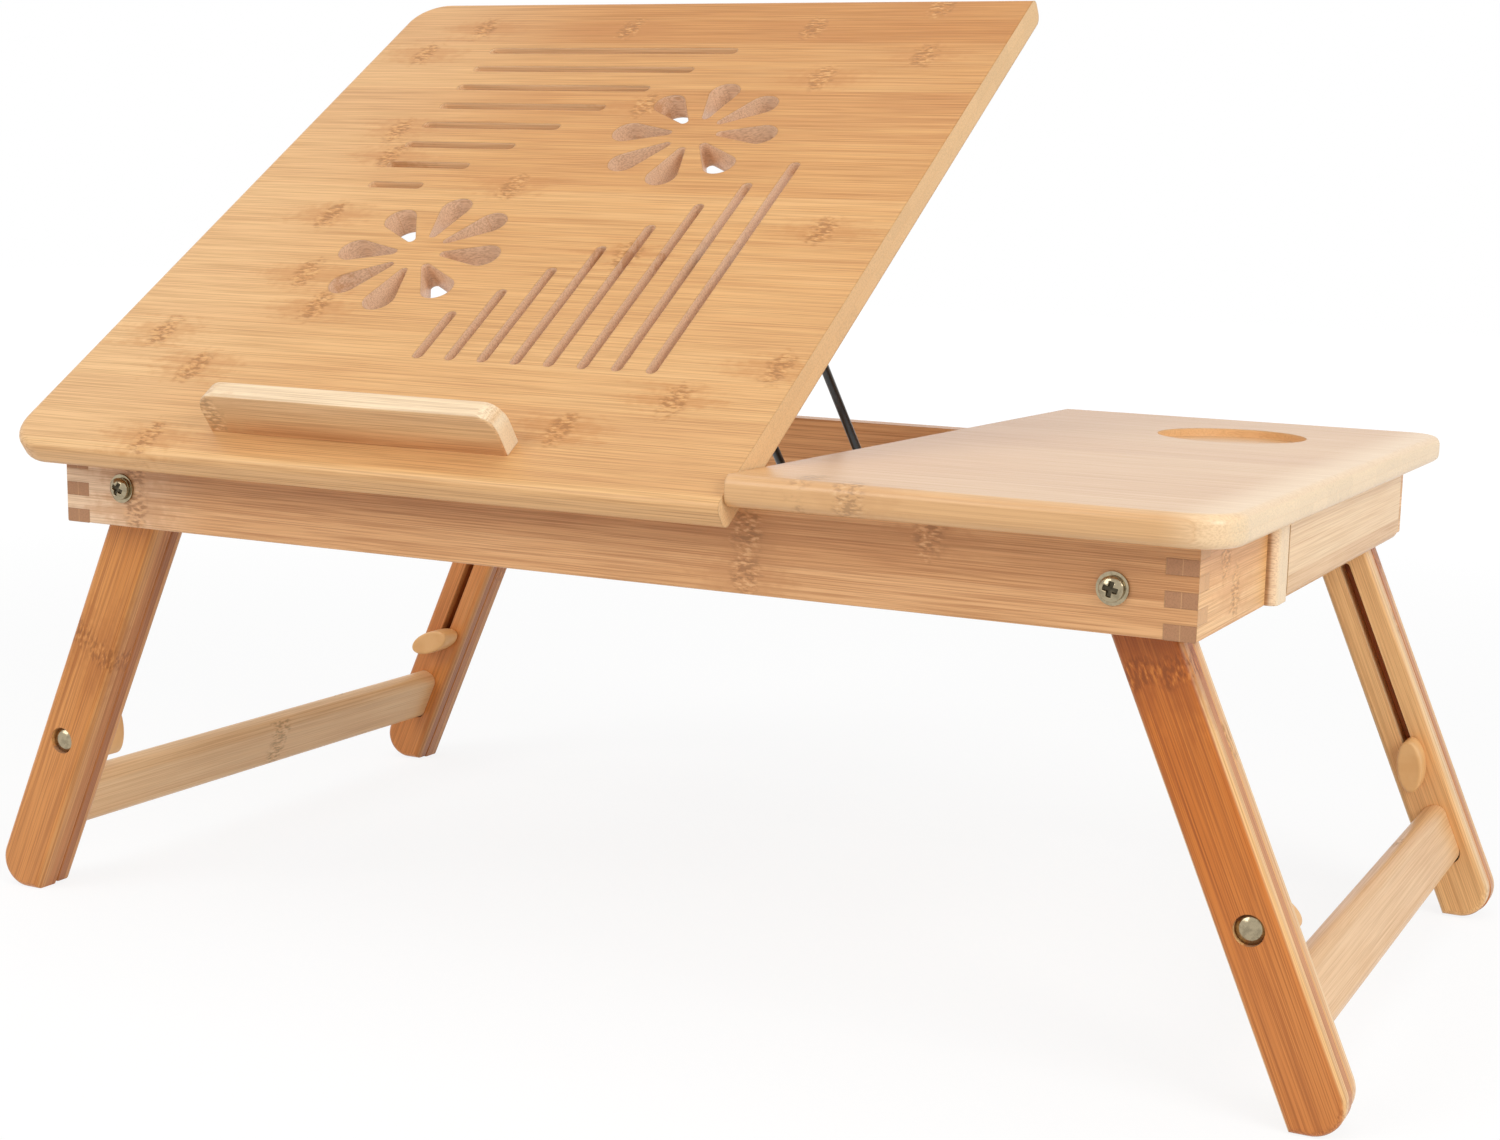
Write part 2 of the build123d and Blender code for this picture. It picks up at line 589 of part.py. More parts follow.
# Drawer
box_low = runner_top + RUN_CLEARANCE
box_high = box_low + DRAWER_SIDE_HEIGHT
box_back = divider_right + DRAWER_REAR_GAP
front_near = cheek_inner + DRAWER_FRONT_GAP
front_far = y_back - POST_LENGTH - DRAWER_POST_GAP
drawer_front = block(drawer_front_back, front_face, front_near, front_far, z_low, z_top - DRAWER_TOP_GAP)
low_far_edge = drawer_front.edges().filter_by(Axis.X).group_by(Axis.Z)[0].sort_by(Axis.Y)[-1]
drawer_front = fillet(low_far_edge, DRAWER_FRONT_CORNER)
outer_rim = drawer_front.faces().sort_by(Axis.X)[-1].edges()
soft_rim = [edge for edge in outer_rim if edge.center().Y > front_far - DRAWER_FRONT_CORNER]
drawer_front = fillet(soft_rim, DRAWER_FRONT_EDGE)
tray_near = drawer_near + DRAWER_SIDE_THICK
tray_far = drawer_far - DRAWER_SIDE_THICK
side_near = block(box_back, drawer_front_back, drawer_near, tray_near, box_low, box_high)
side_far = block(box_back, drawer_front_back, tray_far, drawer_far, box_low, box_high)
drawer_back = block(box_back, box_back + DRAWER_SIDE_THICK, tray_near, tray_far, box_low, box_high)
floor_low = box_low + DRAWER_BOTTOM_UP
floor_near = tray_near - DRAWER_GROOVE
floor_far = tray_far + DRAWER_GROOVE
drawer_bottom = block(box_back + DRAWER_SIDE_THICK - DRAWER_GROOVE, drawer_front_back + DRAWER_GROOVE,
                      floor_near, floor_far, floor_low, floor_low + DRAWER_BOTTOM_THICK)
drawer_front -= drawer_bottom
side_near -= drawer_bottom
side_far -= drawer_bottom
drawer_back -= drawer_bottom

# Legs, drawn for the right near corner
outer_profile = Polygon((0, -leg_half), (foot_reach(-leg_half, 0), -leg_half),
                        (foot_reach(leg_half, 0), leg_half), (0, leg_half), align=None)
outer_profile += Circle(leg_half)
outer_profile = fillet(outer_profile.vertices().sort_by(Axis.X)[-1], FOOT_CORNER)
outer_leg = extrude(outer_profile, OUTER_LEG_THICK)
outer_leg = fillet(outer_leg.faces().sort_by(Axis.Z)[-1].edges(), LEG_ROUND)
outer_leg = fillet(outer_leg.faces().sort_by(Axis.Z)[0].edges(), LEG_ARRIS)
outer_leg = leg_plane(outer_leg_far) * outer_leg
outer_leg -= rod(pivot_at(outer_leg_near), (0, 1, 0), PIVOT_BOLT_RADIUS + PIVOT_RUNNING, OUTER_LEG_THICK)
bolt_seat = outer_leg_near + HEIGHT_SINK_DEPTH
bolt_sink = leg_point(HEIGHT_BOLT_DOWN, outer_leg_near)
outer_leg -= rod(bolt_sink, (0, 1, 0), HEIGHT_SINK_RADIUS, HEIGHT_SINK_DEPTH)
knob_base = inner_leg_far + KNOB_GAP
height_bolt_end = knob_base + KNOB_BORE_DEPTH - 2 * KNOB_GAP
height_seat = leg_point(HEIGHT_BOLT_DOWN, bolt_seat)
height_shank = rod(height_seat, (0, 1, 0), HEIGHT_BOLT_RADIUS, height_bolt_end - bolt_seat)
outer_leg -= height_shank
height_head = rod(height_seat, (0, -1, 0), HEIGHT_HEAD_RADIUS, HEIGHT_HEAD_THICK)
height_head = fillet(height_head.faces().sort_by(Axis.Y)[0].edges(), HEIGHT_HEAD_EDGE)
height_bolt = height_shank + height_head

inner_profile = Polygon((INNER_LEG_START, -leg_half), (foot_reach(-leg_half, INNER_FOOT_LIFT), -leg_half),
                        (foot_reach(leg_half, INNER_FOOT_LIFT), leg_half), (INNER_LEG_START, leg_half),
                        align=None)
inner_profile = fillet(inner_profile.vertices().sort_by(Axis.X)[-1], FOOT_CORNER)
inner_profile = fillet(inner_profile.vertices().sort_by(Axis.X)[:2], INNER_TOP_CORNER)
inner_leg = extrude(inner_profile, INNER_LEG_THICK)
inner_leg = fillet(inner_leg.faces().sort_by(Axis.Z)[0].edges(), LEG_ROUND)
inner_leg = fillet(inner_leg.faces().sort_by(Axis.Z)[-1].edges(), LEG_ARRIS)
slot_length = LEG_TRAVEL + LEG_SLOT_WIDTH
slot_centre = HEIGHT_BOLT_DOWN - LEG_TRAVEL / 2
inner_leg -= extrude(Pos(slot_centre, 0) * SlotOverall(slot_length, LEG_SLOT_WIDTH), INNER_LEG_THICK)
mortise = RectangleRounded(CROSSBAR_WIDTH + MORTISE_GAP, CROSSBAR_THICK, CROSSBAR_ROUND)
inner_leg -= extrude(Pos(CROSSBAR_DOWN + MORTISE_GAP / 2, 0) * mortise, INNER_LEG_THICK)
inner_leg = leg_plane(inner_leg_far) * inner_leg

crossbar_start = inner_leg_near + CROSSBAR_END_GAP
crossbar_profile = Pos(CROSSBAR_DOWN, 0) * RectangleRounded(CROSSBAR_WIDTH, CROSSBAR_THICK, CROSSBAR_ROUND)
crossbar = leg_plane(-crossbar_start) * extrude(crossbar_profile, -2 * crossbar_start)


def thumb_knob(turn):
    """Paddle knob on the right near height bolt, turned about the bolt."""
    paddle_height = KNOB_REACH - KNOB_COLLAR_HEIGHT / 2
    profile = RectangleRounded(KNOB_LENGTH, paddle_height, KNOB_CORNER)
    profile = Plane.XZ * Pos(0, KNOB_REACH - paddle_height / 2) * profile
    paddle = extrude(profile, KNOB_THICK / 2, both=True)
    outlines = paddle.edges().group_by(Axis.Y)
    paddle = fillet(outlines[0] + outlines[-1], KNOB_EDGE)
    collar = Cylinder(KNOB_COLLAR_RADIUS, KNOB_COLLAR_HEIGHT, align=(Align.CENTER, Align.CENTER, Align.MIN))
    bore = Cylinder(HEIGHT_BOLT_RADIUS + KNOB_RUNNING, KNOB_BORE_DEPTH,
                    align=(Align.CENTER, Align.CENTER, Align.MIN))
    seat = Plane(leg_point(HEIGHT_BOLT_DOWN, knob_base), x_dir=leg_down, z_dir=(0, 1, 0))
    return seat * Rot(0, 0, turn) * (paddle + collar - bore)


# Write every node
os.makedirs("parts", exist_ok=True)
save("front_rail", front_rail)
save("rear_rail", rear_rail)
save("left_end_rail", end_rail)
save("right_front_stub", front_stub)
save("right_rear_post", rear_post)
save("seam_slat", seam_slat)
save("prop_rack", prop_rack)
save("rack_arms", arm_near, arm_far)
save("fixed_top", fixed_top)
save("drawer_cheek_near", cheek_near)
save("drawer_cheek_far", cheek_far)
save("drawer_divider", divider)
save("drawer_runners", runner_near, runner_far)
corners = [(left, far) for left in (False, True) for far in (False, True)]
save("pivot_bolts", *[mirrored(pivot_bolt, left, far) for left, far in corners])
save("pivot_washers", *[mirrored(pivot_washer, left, far) for left, far in corners])
save("pivot_nuts", *[mirrored(pivot_nut, left, far) for left, far in corners])
save("hinge_leaves_lower", *lower_leaves)
save("hinge_pins", *hinge_pins)
save("hinge_screws_lower", *lower_screws)
save("tilt_panel", tilted(tilt_panel))
save("page_ledge", tilted(ledge))
save("ledge_screws", *[tilted(screw) for screw in ledge_screws])
save("hinge_leaves_upper", *[tilted(leaf) for leaf in upper_leaves])
save("hinge_screws_upper", *[tilted(screw) for screw in upper_screws])
save("prop_bearings", *[tilted(bearing) for bearing in bearings])
prop_pin = Axis((0, folded_pivot_y, folded_z), (1, 0, 0))
save("prop_wire", tilted(prop_folded.rotate(prop_pin, -prop_fold)))
save("drawer_front", drawer_front)
save("drawer_side_near", side_near)
save("drawer_side_far", side_far)
save("drawer_back", drawer_back)
save("drawer_bottom", drawer_bottom)
for left, hand in ((False, "right"), (True, "left")):
    save(hand + "_height_bolts", mirrored(height_bolt, left), mirrored(height_bolt, left, True))
    save(hand + "_crossbar", mirrored(crossbar, left))
    for far, place in ((False, "near"), (True, "far")):
        corner = hand + "_" + place
        save(corner + "_outer_leg", mirrored(outer_leg, left, far))
        save(corner + "_inner_leg", mirrored(inner_leg, left, far))
        save(corner + "_knob", mirrored(thumb_knob(KNOB_TURNS[corner]), left, far))
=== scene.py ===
"""Dresses the bamboo laptop bed table: laminated boards with their strips, plies and growth knuckles,
routed vents, cross-head bolts, black wire prop and tan thumb knobs, on a pale studio floor."""

from math import cos, pi, radians, sin

import bmesh
import bpy
from mathutils import Matrix, Vector


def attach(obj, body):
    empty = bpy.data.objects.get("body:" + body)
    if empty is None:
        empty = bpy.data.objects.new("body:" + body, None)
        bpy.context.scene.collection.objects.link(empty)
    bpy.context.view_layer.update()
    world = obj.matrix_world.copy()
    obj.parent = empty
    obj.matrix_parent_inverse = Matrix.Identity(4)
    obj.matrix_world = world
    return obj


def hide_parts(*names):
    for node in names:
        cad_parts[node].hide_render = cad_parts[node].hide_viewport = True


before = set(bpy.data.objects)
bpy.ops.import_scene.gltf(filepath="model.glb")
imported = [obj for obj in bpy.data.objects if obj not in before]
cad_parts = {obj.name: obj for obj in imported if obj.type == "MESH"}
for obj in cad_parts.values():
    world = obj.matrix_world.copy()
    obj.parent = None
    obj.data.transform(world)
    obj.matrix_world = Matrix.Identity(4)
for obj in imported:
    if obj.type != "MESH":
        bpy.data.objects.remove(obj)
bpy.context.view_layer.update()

MM = 0.001
WHITE = (1, 1, 1, 1)
SIDES = ((1, "right"), (-1, "left"))

# What the table turns about: the panel's hinge line, the legs' pivots and their height bolts
SPLAY = radians(23.5)
TILT = radians(34.8)
HINGE_LINE = Vector((0, -164.1, 207.35)) * MM
PIVOT_X, PIVOT_Z = 219.5, 189.2
HEIGHT_BOLT_X, HEIGHT_BOLT_Z = 270.739, 71.358


def tint(red, green, blue):
    """Linear colour from the usual 0 to 255 values."""
    shares = [value / 255 for value in (red, green, blue)]
    linear = [v / 12.92 if v <= 0.04045 else ((v + 0.055) / 1.055) ** 2.4 for v in shares]
    return (*linear, 1.0)


def darker(colour, share):
    """The same colour at a share of its brightness."""
    return (*[value * share for value in colour[:3]], 1.0)


def new_object(name, data):
    """Object at the origin, in the scene."""
    thing = bpy.data.objects.new(name, data)
    bpy.context.scene.collection.objects.link(thing)
    return thing


class Flow:
    """A value on its way through a node tree; sums on it add their Math nodes."""

    def __init__(self, tree, socket=None):
        self.tree = tree
        self.socket = socket

    def node(self, kind, settings=None, inputs=None, out=0):
        """Adds any node: its settings first, then the values or links of its sockets."""
        made = self.tree.nodes.new(kind)
        for name, value in (settings or {}).items():
            if name == "stops":
                self.fill_ramp(made.color_ramp, value)
            else:
                setattr(made, name, value)
        for key, value in (inputs or {}).items():
            if isinstance(value, Flow):
                self.tree.links.new(value.socket, made.inputs[key])
            else:
                made.inputs[key].default_value = value
        return Flow(self.tree, made.outputs[out])

    @staticmethod
    def fill_ramp(ramp, stops):
        for place, _ in stops[2:]:
            ramp.elements.new(place)
        for element, (place, colour) in zip(ramp.elements, stops):
            element.position = place
            element.color = colour

    def other(self, out):
        """Another output of the node that this value comes from."""
        return Flow(self.tree, self.socket.node.outputs[out])

    def maths(self, operation, left, right=0.0):
        return self.node("ShaderNodeMath", {"operation": operation}, {0: left, 1: right})

    def __add__(self, value):
        return self.maths("ADD", self, value)

    def __radd__(self, value):
        return self.maths("ADD", value, self)

    def __sub__(self, value):
        return self.maths("SUBTRACT", self, value)

    def __rsub__(self, value):
        return self.maths("SUBTRACT", value, self)

    def __mul__(self, value):
        return self.maths("MULTIPLY", self, value)

    def __rmul__(self, value):
        return self.maths("MULTIPLY", value, self)

    def __truediv__(self, value):
        return self.maths("DIVIDE", self, value)

    def __rtruediv__(self, value):
        return self.maths("DIVIDE", value, self)

    def __abs__(self):
        return self.maths("ABSOLUTE", self)

    def floor(self):
        return self.maths("FLOOR", self)

    def fraction(self):
        return self.maths("FRACT", self)

    def larger(self, value):
        return self.maths("MAXIMUM", self, value)

    def smaller(self, value):
        return self.maths("MINIMUM", self, value)

    def above(self, value):
        return self.maths("GREATER_THAN", self, value)

    def between(self, low, high):
        """1 from low to high, 0 elsewhere."""
        return self.above(low) * (1.0 - self.above(high))

    def fade(self, start, end, low=0.0, high=1.0):
        """Goes smoothly from low at start to high at end."""
        values = {"Value": self, "From Min": start, "From Max": end, "To Min": low, "To Max": high}
        return self.node("ShaderNodeMapRange", {"interpolation_type": "SMOOTHSTEP"}, values)

    def blend(self, first, second, share=1.0):
        """Colour between two colours, by a share of this value."""
        factor = self if share == 1.0 else self * share
        return self.node("ShaderNodeMix", {"data_type": "RGBA"}, {0: factor, 6: first, 7: second}, out=2)

    def shaded(self, by, share):
        """This colour multiplied by another one, to a share."""
        settings = {"data_type": "RGBA", "blend_type": "MULTIPLY"}
        return self.node("ShaderNodeMix", settings, {0: share, 6: self, 7: by}, out=2)

    def vector(self, x, y, z):
        return self.node("ShaderNodeCombineXYZ", None, {0: x, 1: y, 2: z})

    def noise(self, place, detail=2.0, rough=0.5):
        values = {"Vector": place, "Scale": 1.0, "Detail": detail, "Roughness": rough}
        return self.node("ShaderNodeTexNoise", {"noise_dimensions": "3D"}, values)

    def scatter(self, place):
        """Three random numbers for a cell."""
        settings = {"noise_dimensions": "3D"}
        return self.node("ShaderNodeTexWhiteNoise", settings, {"Vector": place}, out="Color").parts()

    def distance(self, place):
        """How far this point is from a fixed one."""
        settings = {"operation": "DISTANCE"}
        return self.node("ShaderNodeVectorMath", settings, {0: self, 1: place}, out="Value")

    def parts(self):
        split = self.node("ShaderNodeSeparateXYZ", None, {0: self})
        return [split, split.other(1), split.other(2)]


def finish_of(name):
    """New material: its flow and its surface shader."""
    material = bpy.data.materials.new(name)
    material.use_nodes = True
    surface = material.node_tree.nodes["Principled BSDF"]
    return material, Flow(material.node_tree), surface


def feed(flow, surface, **inputs):
    """Sets or links the surface shader's sockets."""
    for name, value in inputs.items():
        socket = surface.inputs[name.replace("_", " ").title().replace("Ior", "IOR")]
        if isinstance(value, Flow):
            flow.tree.links.new(value.socket, socket)
        else:
            socket.default_value = value


def in_millimetres(flow, place):
    return flow.node("ShaderNodeVectorMath", {"operation": "SCALE"}, {0: place, "Scale": 1 / MM})


def bump(flow, height, strength, distance, ease=0.0):
    """Relief, on edges that look eased by a small radius."""
    inputs = {"Height": height, "Strength": strength, "Distance": distance}
    if ease:
        inputs["Normal"] = flow.node("ShaderNodeBevel", {"samples": 4}, {"Radius": ease})
    return flow.node("ShaderNodeBump", None, inputs)


# Knuckles and the stains beside them: half their length along the grain and across it, in millimetres
KNUCKLE_HALF, KNUCKLE_TALL = 7.0, 11.5
STAIN_HALF, STAIN_TALL = 26.0, 11.0
KNUCKLE_GAP = 270.0
FAR_OFF = 9.0

# Laminate: most shift of the grain from strip to strip in millimetres, spread of tone from strip to
# strip, roughness, share of a ply by which a face lies inside its ply, and steps that a seed makes
GRAIN_SHIFT = 900.0
USUAL_VARY = 0.42
BAMBOO_GLOSS = 0.36
FACE_SLACK = 0.01
STRIP_STAGGER, SEED_STEP = 0.37, 3.1
FIBRE_DARK, FIBRE_LIGHT = (0.6, 0.47, 0.37, 1), (1.12, 1.13, 1.15, 1)
DASH_DARK, PORE_DARK = 0.62, 0.74

# How strongly each mark of the bamboo shows, from 0 to 1
VEIN_SHOWS = 0.4
EDGE_SHOWS = 0.85
WALL_SHOWS = 0.9
STAIN_SHOWS = 0.5
KNUCKLE_SHOWS = 0.25
DARK_DASH_SHOWS = 0.7
PALE_DASH_SHOWS = 0.65
SEAM_SHOWS = 0.28
PLY_LINE_SHOWS = 0.3


def board_axes(flow, order, shift, turn):
    """Places in millimetres along the three ways of a board, and how much the surface looks each way."""
    place = flow.node("ShaderNodeTexCoord", None, None, out="Object")
    settled = {"Vector": place, "Location": shift, "Rotation": turn}
    local = in_millimetres(flow, flow.node("ShaderNodeMapping", {"vector_type": "POINT"}, settled))
    turned = {"Vector": place.other("Normal"), "Rotation": turn}
    facing = flow.node("ShaderNodeMapping", {"vector_type": "VECTOR"}, turned)
    axes = dict(zip("XYZ", local.parts()))
    looks = dict(zip("XYZ", facing.parts()))
    return [axes[letter] for letter in order], [abs(looks[letter]) for letter in order]


def with_fades_and_painted_light(colour, ways, stretches):
    """Colour once each stretch is made paler or darker, several of them as painted light and shade: its way,
    start, end, tone and share.
    """
    for way, start, end, tone, share in stretches:
        colour = ways[way].fade(start, end, 0.0, share).blend(colour, tone)
    return colour


def nearest(flow, along, across, marks, half, tall):
    """How far off the nearest mark is, counting the rim of its oval as 1."""
    spot = flow.vector(along / half, across / tall, 0.0)
    gaps = [spot.distance((mark_along / half, mark_across / tall, 0.0)) for mark_along, mark_across in marks]
    least = gaps[0]
    for gap in gaps[1:]:
        least = least.smaller(gap)
    return least


def bamboo(name, order, tones, end, face, strip=21.0, ply=6.0, shift=(0, 0, 0), turn=(0, 0, 0), seed=0.0,
           marks=(), share=0.0, edge=None, routed=(), fades_and_painted_light=(), painted_highlights=(), vary=USUAL_VARY, lining=0.5,
           coat=0.2, ease=0.0006):
    """Laminated bamboo. Order names the axes along the grain, across the strips and through the plies,
    which are counted inwards from the face. Tones are pale, middle and deep; end is the tone of the end
    grain, and edge those of the first ply and the others on the narrow sides. Marks are the places of
    knuckles along and across, and share is the part of the strips that have one elsewhere. Routed are
    boxes along and across with the tone of the walls cut there. The fades are stretches made paler or
    darker, several of them painted light and shade, and the painted highlights are paler stretches on
    edges and cut walls too."""
    pale, mid, deep = tones
    material, flow, surface = finish_of(name)
    places, looks = board_axes(flow, order, shift, turn)
    along, across, through = places
    looks_along, looks_across, looks_through = looks
    rows = across / strip + seed * STRIP_STAGGER
    in_row = rows.fraction() - 0.5
    depth = (face - abs(through)) / ply
    cell = flow.vector(rows.floor() + seed, (depth + FACE_SLACK).floor(), seed * SEED_STEP)
    chance = flow.scatter(cell)
    own = along + chance[0] * GRAIN_SHIFT

    def grain(long_scale, cross_scale, start=own, **how):
        """Noise drawn out along the grain."""
        place = flow.vector(start * long_scale, across * cross_scale, through * cross_scale)
        return flow.noise(place, **how)

    fibre = grain(0.016, 1.7, detail=3.0, rough=0.6)
    streak = grain(0.005, 0.3, detail=3.0, rough=0.55)
    cloud = grain(0.018, 0.05)
    vein = grain(0.004, 0.75).fade(0.54, 0.7)
    rag = grain(0.22, 0.3, start=along) - 0.5

    # Strips and veins, then what saw and router have done to them, and painted light and shade with the
    # other paler or darker stretches
    tone = chance[1] * vary + streak * 0.55 + cloud * 0.4 - 0.2 + (USUAL_VARY - vary) / 2
    stops = [(0.1, deep), (0.5, mid), (0.9, pale)]
    colour = flow.node("ShaderNodeValToRGB", {"stops": stops}, {"Fac": tone})
    colour = vein.blend(colour, deep, share=VEIN_SHOWS)
    ways = {"along": along, "across": across}
    colour = with_fades_and_painted_light(colour, ways, fades_and_painted_light)
    if edge:
        first_ply, other_plies = edge
        plies = depth.above(1.0).blend(first_ply, other_plies)
        colour = looks_across.fade(0.5, 0.85).blend(colour, plies, share=EDGE_SHOWS)
    cut = 0.0
    for low_along, high_along, low_across, high_across, wall in routed:
        inside = along.between(low_along, high_along) * across.between(low_across, high_across)
        walls = inside * (1.0 - looks_through.fade(0.3, 0.7))
        colour = walls.blend(colour, wall, share=WALL_SHOWS)
        cut = walls + cut
    colour = with_fades_and_painted_light(colour, ways, painted_highlights)
    lines = fibre.fade(0.34, 0.62)
    colour = colour.shaded(lines.blend(FIBRE_DARK, FIBRE_LIGHT), lining)

    # Knuckles: a stain along the grain, and dark and pale dashes in a ragged patch
    slope = in_row * (chance[2] - 0.5) * 10.0
    own_gap = abs((own / KNUCKLE_GAP).fraction() - 0.5) * KNUCKLE_GAP
    apart = (own_gap + slope) / KNUCKLE_HALF + chance[2].above(share) * FAR_OFF
    if marks:
        apart = apart.smaller(nearest(flow, along, across, marks, KNUCKLE_HALF, KNUCKLE_TALL))
        stain = nearest(flow, along, across, marks, STAIN_HALF, STAIN_TALL)
        stain = stain + rag * 1.4 + (streak - 0.5) * 2.0
        colour = (1.0 - stain.fade(0.25, 1.1)).blend(colour, deep, share=STAIN_SHOWS)
    zone = (1.0 - (apart + rag * 1.1).fade(0.45, 1.15)) * (1.0 - cut)
    dash = flow.noise(flow.vector(along * 0.3 + across * 0.08, across * 0.8, through * 0.8))
    dark_dash = dash.fade(0.48, 0.6) * zone
    pale_dash = (1.0 - dash).fade(0.54, 0.66) * zone
    colour = zone.blend(colour, deep, share=KNUCKLE_SHOWS)
    colour = dark_dash.blend(colour, darker(deep, DASH_DARK), share=DARK_DASH_SHOWS)
    colour = pale_dash.blend(colour, pale, share=PALE_DASH_SHOWS)

    # Glue lines between the strips, and pores and plies on the ends
    seam = abs(in_row).fade(0.484, 0.5)
    colour = seam.blend(colour, deep, share=SEAM_SHOWS)
    end_grain = looks_along.fade(0.72, 0.92) * (1.0 - cut)
    pores = flow.noise(flow.vector(across * 1.6, through * 1.6, chance[0] * 50.0)).fade(0.4, 0.66)
    end_colour = (pores * 0.45 + chance[1] * 0.25).blend(end, darker(end, PORE_DARK))
    ply_line = abs(depth.fraction() - 0.5).fade(0.45, 0.5)
    end_colour = ply_line.blend(end_colour, pale, share=PLY_LINE_SHOWS)
    colour = end_grain.blend(colour, end_colour)

    relief = lines * 0.3 - dark_dash * 0.6 + pale_dash * 0.3 - seam * 0.4
    rough = BAMBOO_GLOSS + (1.0 - lines) * 0.1 + zone * 0.06 + end_grain * 0.14
    feed(flow, surface, base_color=colour, roughness=rough,
         normal=bump(flow, relief, strength=0.2, distance=0.0004, ease=ease),
         coat_weight=coat, coat_roughness=0.25, specular_ior_level=0.32)
    return material


# Scales of the marks on metal and plastic, per millimetre, and how dark dull spots and the painted shade in
# recesses are
SPOT_SCALE, MARK_SCALE, MOTTLE_SCALE = 0.4, 3.0, 0.12
DULL_DARK, RECESS_SHADE_DARK = 0.55, 0.22


def steel(name, tone, gloss, seed):
    """Plated steel with fine marks and dull spots, and painted shade where the form is sunk."""
    material, flow, surface = finish_of(name)
    place = flow.node("ShaderNodeTexCoord", None, None, out="Object")
    x, y, z = in_millimetres(flow, place).parts()
    spot_place = flow.vector(x * SPOT_SCALE + seed, y * SPOT_SCALE, z * SPOT_SCALE)
    dull = flow.noise(spot_place, detail=3.0, rough=0.6).fade(0.4, 0.7)
    fine = flow.noise(flow.vector(x * MARK_SCALE, y * MARK_SCALE + seed, z * MARK_SCALE))
    sunk = flow.node("ShaderNodeAttribute", {"attribute_name": "sunk"}, None, out="Fac")
    colour = dull.blend(tone, darker(tone, DULL_DARK), share=0.6)
    colour = sunk.blend(colour, darker(tone, RECESS_SHADE_DARK))
    feed(flow, surface, base_color=colour, roughness=gloss + dull * 0.14 + sunk * 0.3, metallic=1.0,
         normal=bump(flow, fine, strength=0.03, distance=0.0002))
    return material


def moulded(name, tone, low_tone, gloss, grain, strength, coat):
    """Moulded plastic or baked enamel: slight mottle and a fine skin."""
    material, flow, surface = finish_of(name)
    place = flow.node("ShaderNodeTexCoord", None, None, out="Object")
    x, y, z = in_millimetres(flow, place).parts()
    mottle = flow.noise(flow.vector(x * MOTTLE_SCALE, y * MOTTLE_SCALE, z * MOTTLE_SCALE), detail=3.0)
    skin = flow.noise(flow.vector(x * grain, y * grain, z * grain))
    colour = mottle.fade(0.35, 0.65).blend(low_tone, tone)
    feed(flow, surface, base_color=colour, roughness=gloss + skin * 0.1,
         normal=bump(flow, skin, strength, distance=0.0003), coat_weight=coat, coat_roughness=0.3)
    return material


# Pale, middle and deep tones of the boards
PANEL = tint(230, 182, 121), tint(218, 163, 99), tint(197, 133, 71)
FIXED = tint(231, 192, 143), tint(223, 177, 125), tint(209, 158, 106)
RAIL = tint(238, 188, 136), tint(222, 168, 115), tint(196, 138, 88)
STUB = tint(248, 202, 140), tint(241, 185, 117), tint(218, 154, 86)
CREAM = tint(248, 216, 170), tint(240, 200, 149), tint(220, 172, 118)
BAR = tint(242, 204, 158), tint(233, 188, 136), tint(212, 162, 108)
LEDGE = tint(246, 210, 162), tint(232, 190, 138), tint(212, 166, 116)
LEG = tint(214, 132, 56), tint(199, 113, 38), tint(166, 86, 26)
LEFT_LEG = tint(222, 154, 86), tint(207, 134, 62), tint(178, 106, 44)
# Slide tones: the right ones raised as painted light against the shade under the table, the left ones darker
# as painted shade
SLIDE_LIT_TONES = tint(252, 208, 150), tint(244, 194, 132), tint(220, 162, 102)
LEFT_SLIDE_SHADED = tint(230, 164, 98), tint(212, 138, 72), tint(184, 112, 54)

# Tones of ends, edges and cut walls, of painted light and shade, and of other paler or darker stretches
END_BROWN, END_TAN, END_PALE = tint(184, 134, 96), tint(228, 176, 122), tint(232, 192, 144)
LEDGE_TOP = tint(246, 222, 186)
LEDGE_FOOT = tint(206, 140, 86)
PANEL_EDGE = tint(222, 174, 120)
# Painted light and shade on the tilting panel: paler towards its front edge and left end, darker towards its
# back
PANEL_PAINTED_LIGHT = tint(240, 202, 150)
PANEL_PAINTED_SHADE = tint(188, 118, 40)
PANEL_END = tint(244, 204, 152)
# Pale end grain of the fixed top, also laid on as a painted highlight towards its right end
FIXED_END_AND_HIGHLIGHT = tint(252, 222, 180)
FIXED_WARM = tint(220, 164, 104)
# Painted light: the rails turn paler towards their left end
RAIL_PAINTED_LIGHT = tint(242, 211, 177)
CHEEK_END = tint(255, 228, 190)
# Leg edge tones: the right first ply pale as its own tone and as a painted highlight on the rounded arris,
# the left ones darker as painted shade under the table
LEG_EDGES_AND_HIGHLIGHT = tint(242, 198, 136), tint(204, 136, 76)
LEFT_LEG_SHADED_EDGES = tint(218, 160, 98), tint(196, 130, 72)
LEG_FOOT = tint(214, 148, 88)
# Painted shade at the tops of the right legs, under the apron
LEG_TOP_SHADE = tint(152, 82, 36)
SLIDE_EDGES = tint(226, 174, 118), tint(244, 210, 162)
# Left slide edges darker as painted shade under the table
LEFT_SLIDE_SHADED_EDGES = tint(172, 108, 60), tint(208, 150, 92)
# Cut wall tones of the panel's vents and slots: partly the cut wood's own tone, partly painted light against
# the shade inside the cuts
VENT_WALL_PAINTED_LIGHT = tint(240, 206, 175)
SLOT_WALL_PAINTED_LIGHT = tint(248, 212, 168)
CUP_WALL = tint(242, 196, 140)

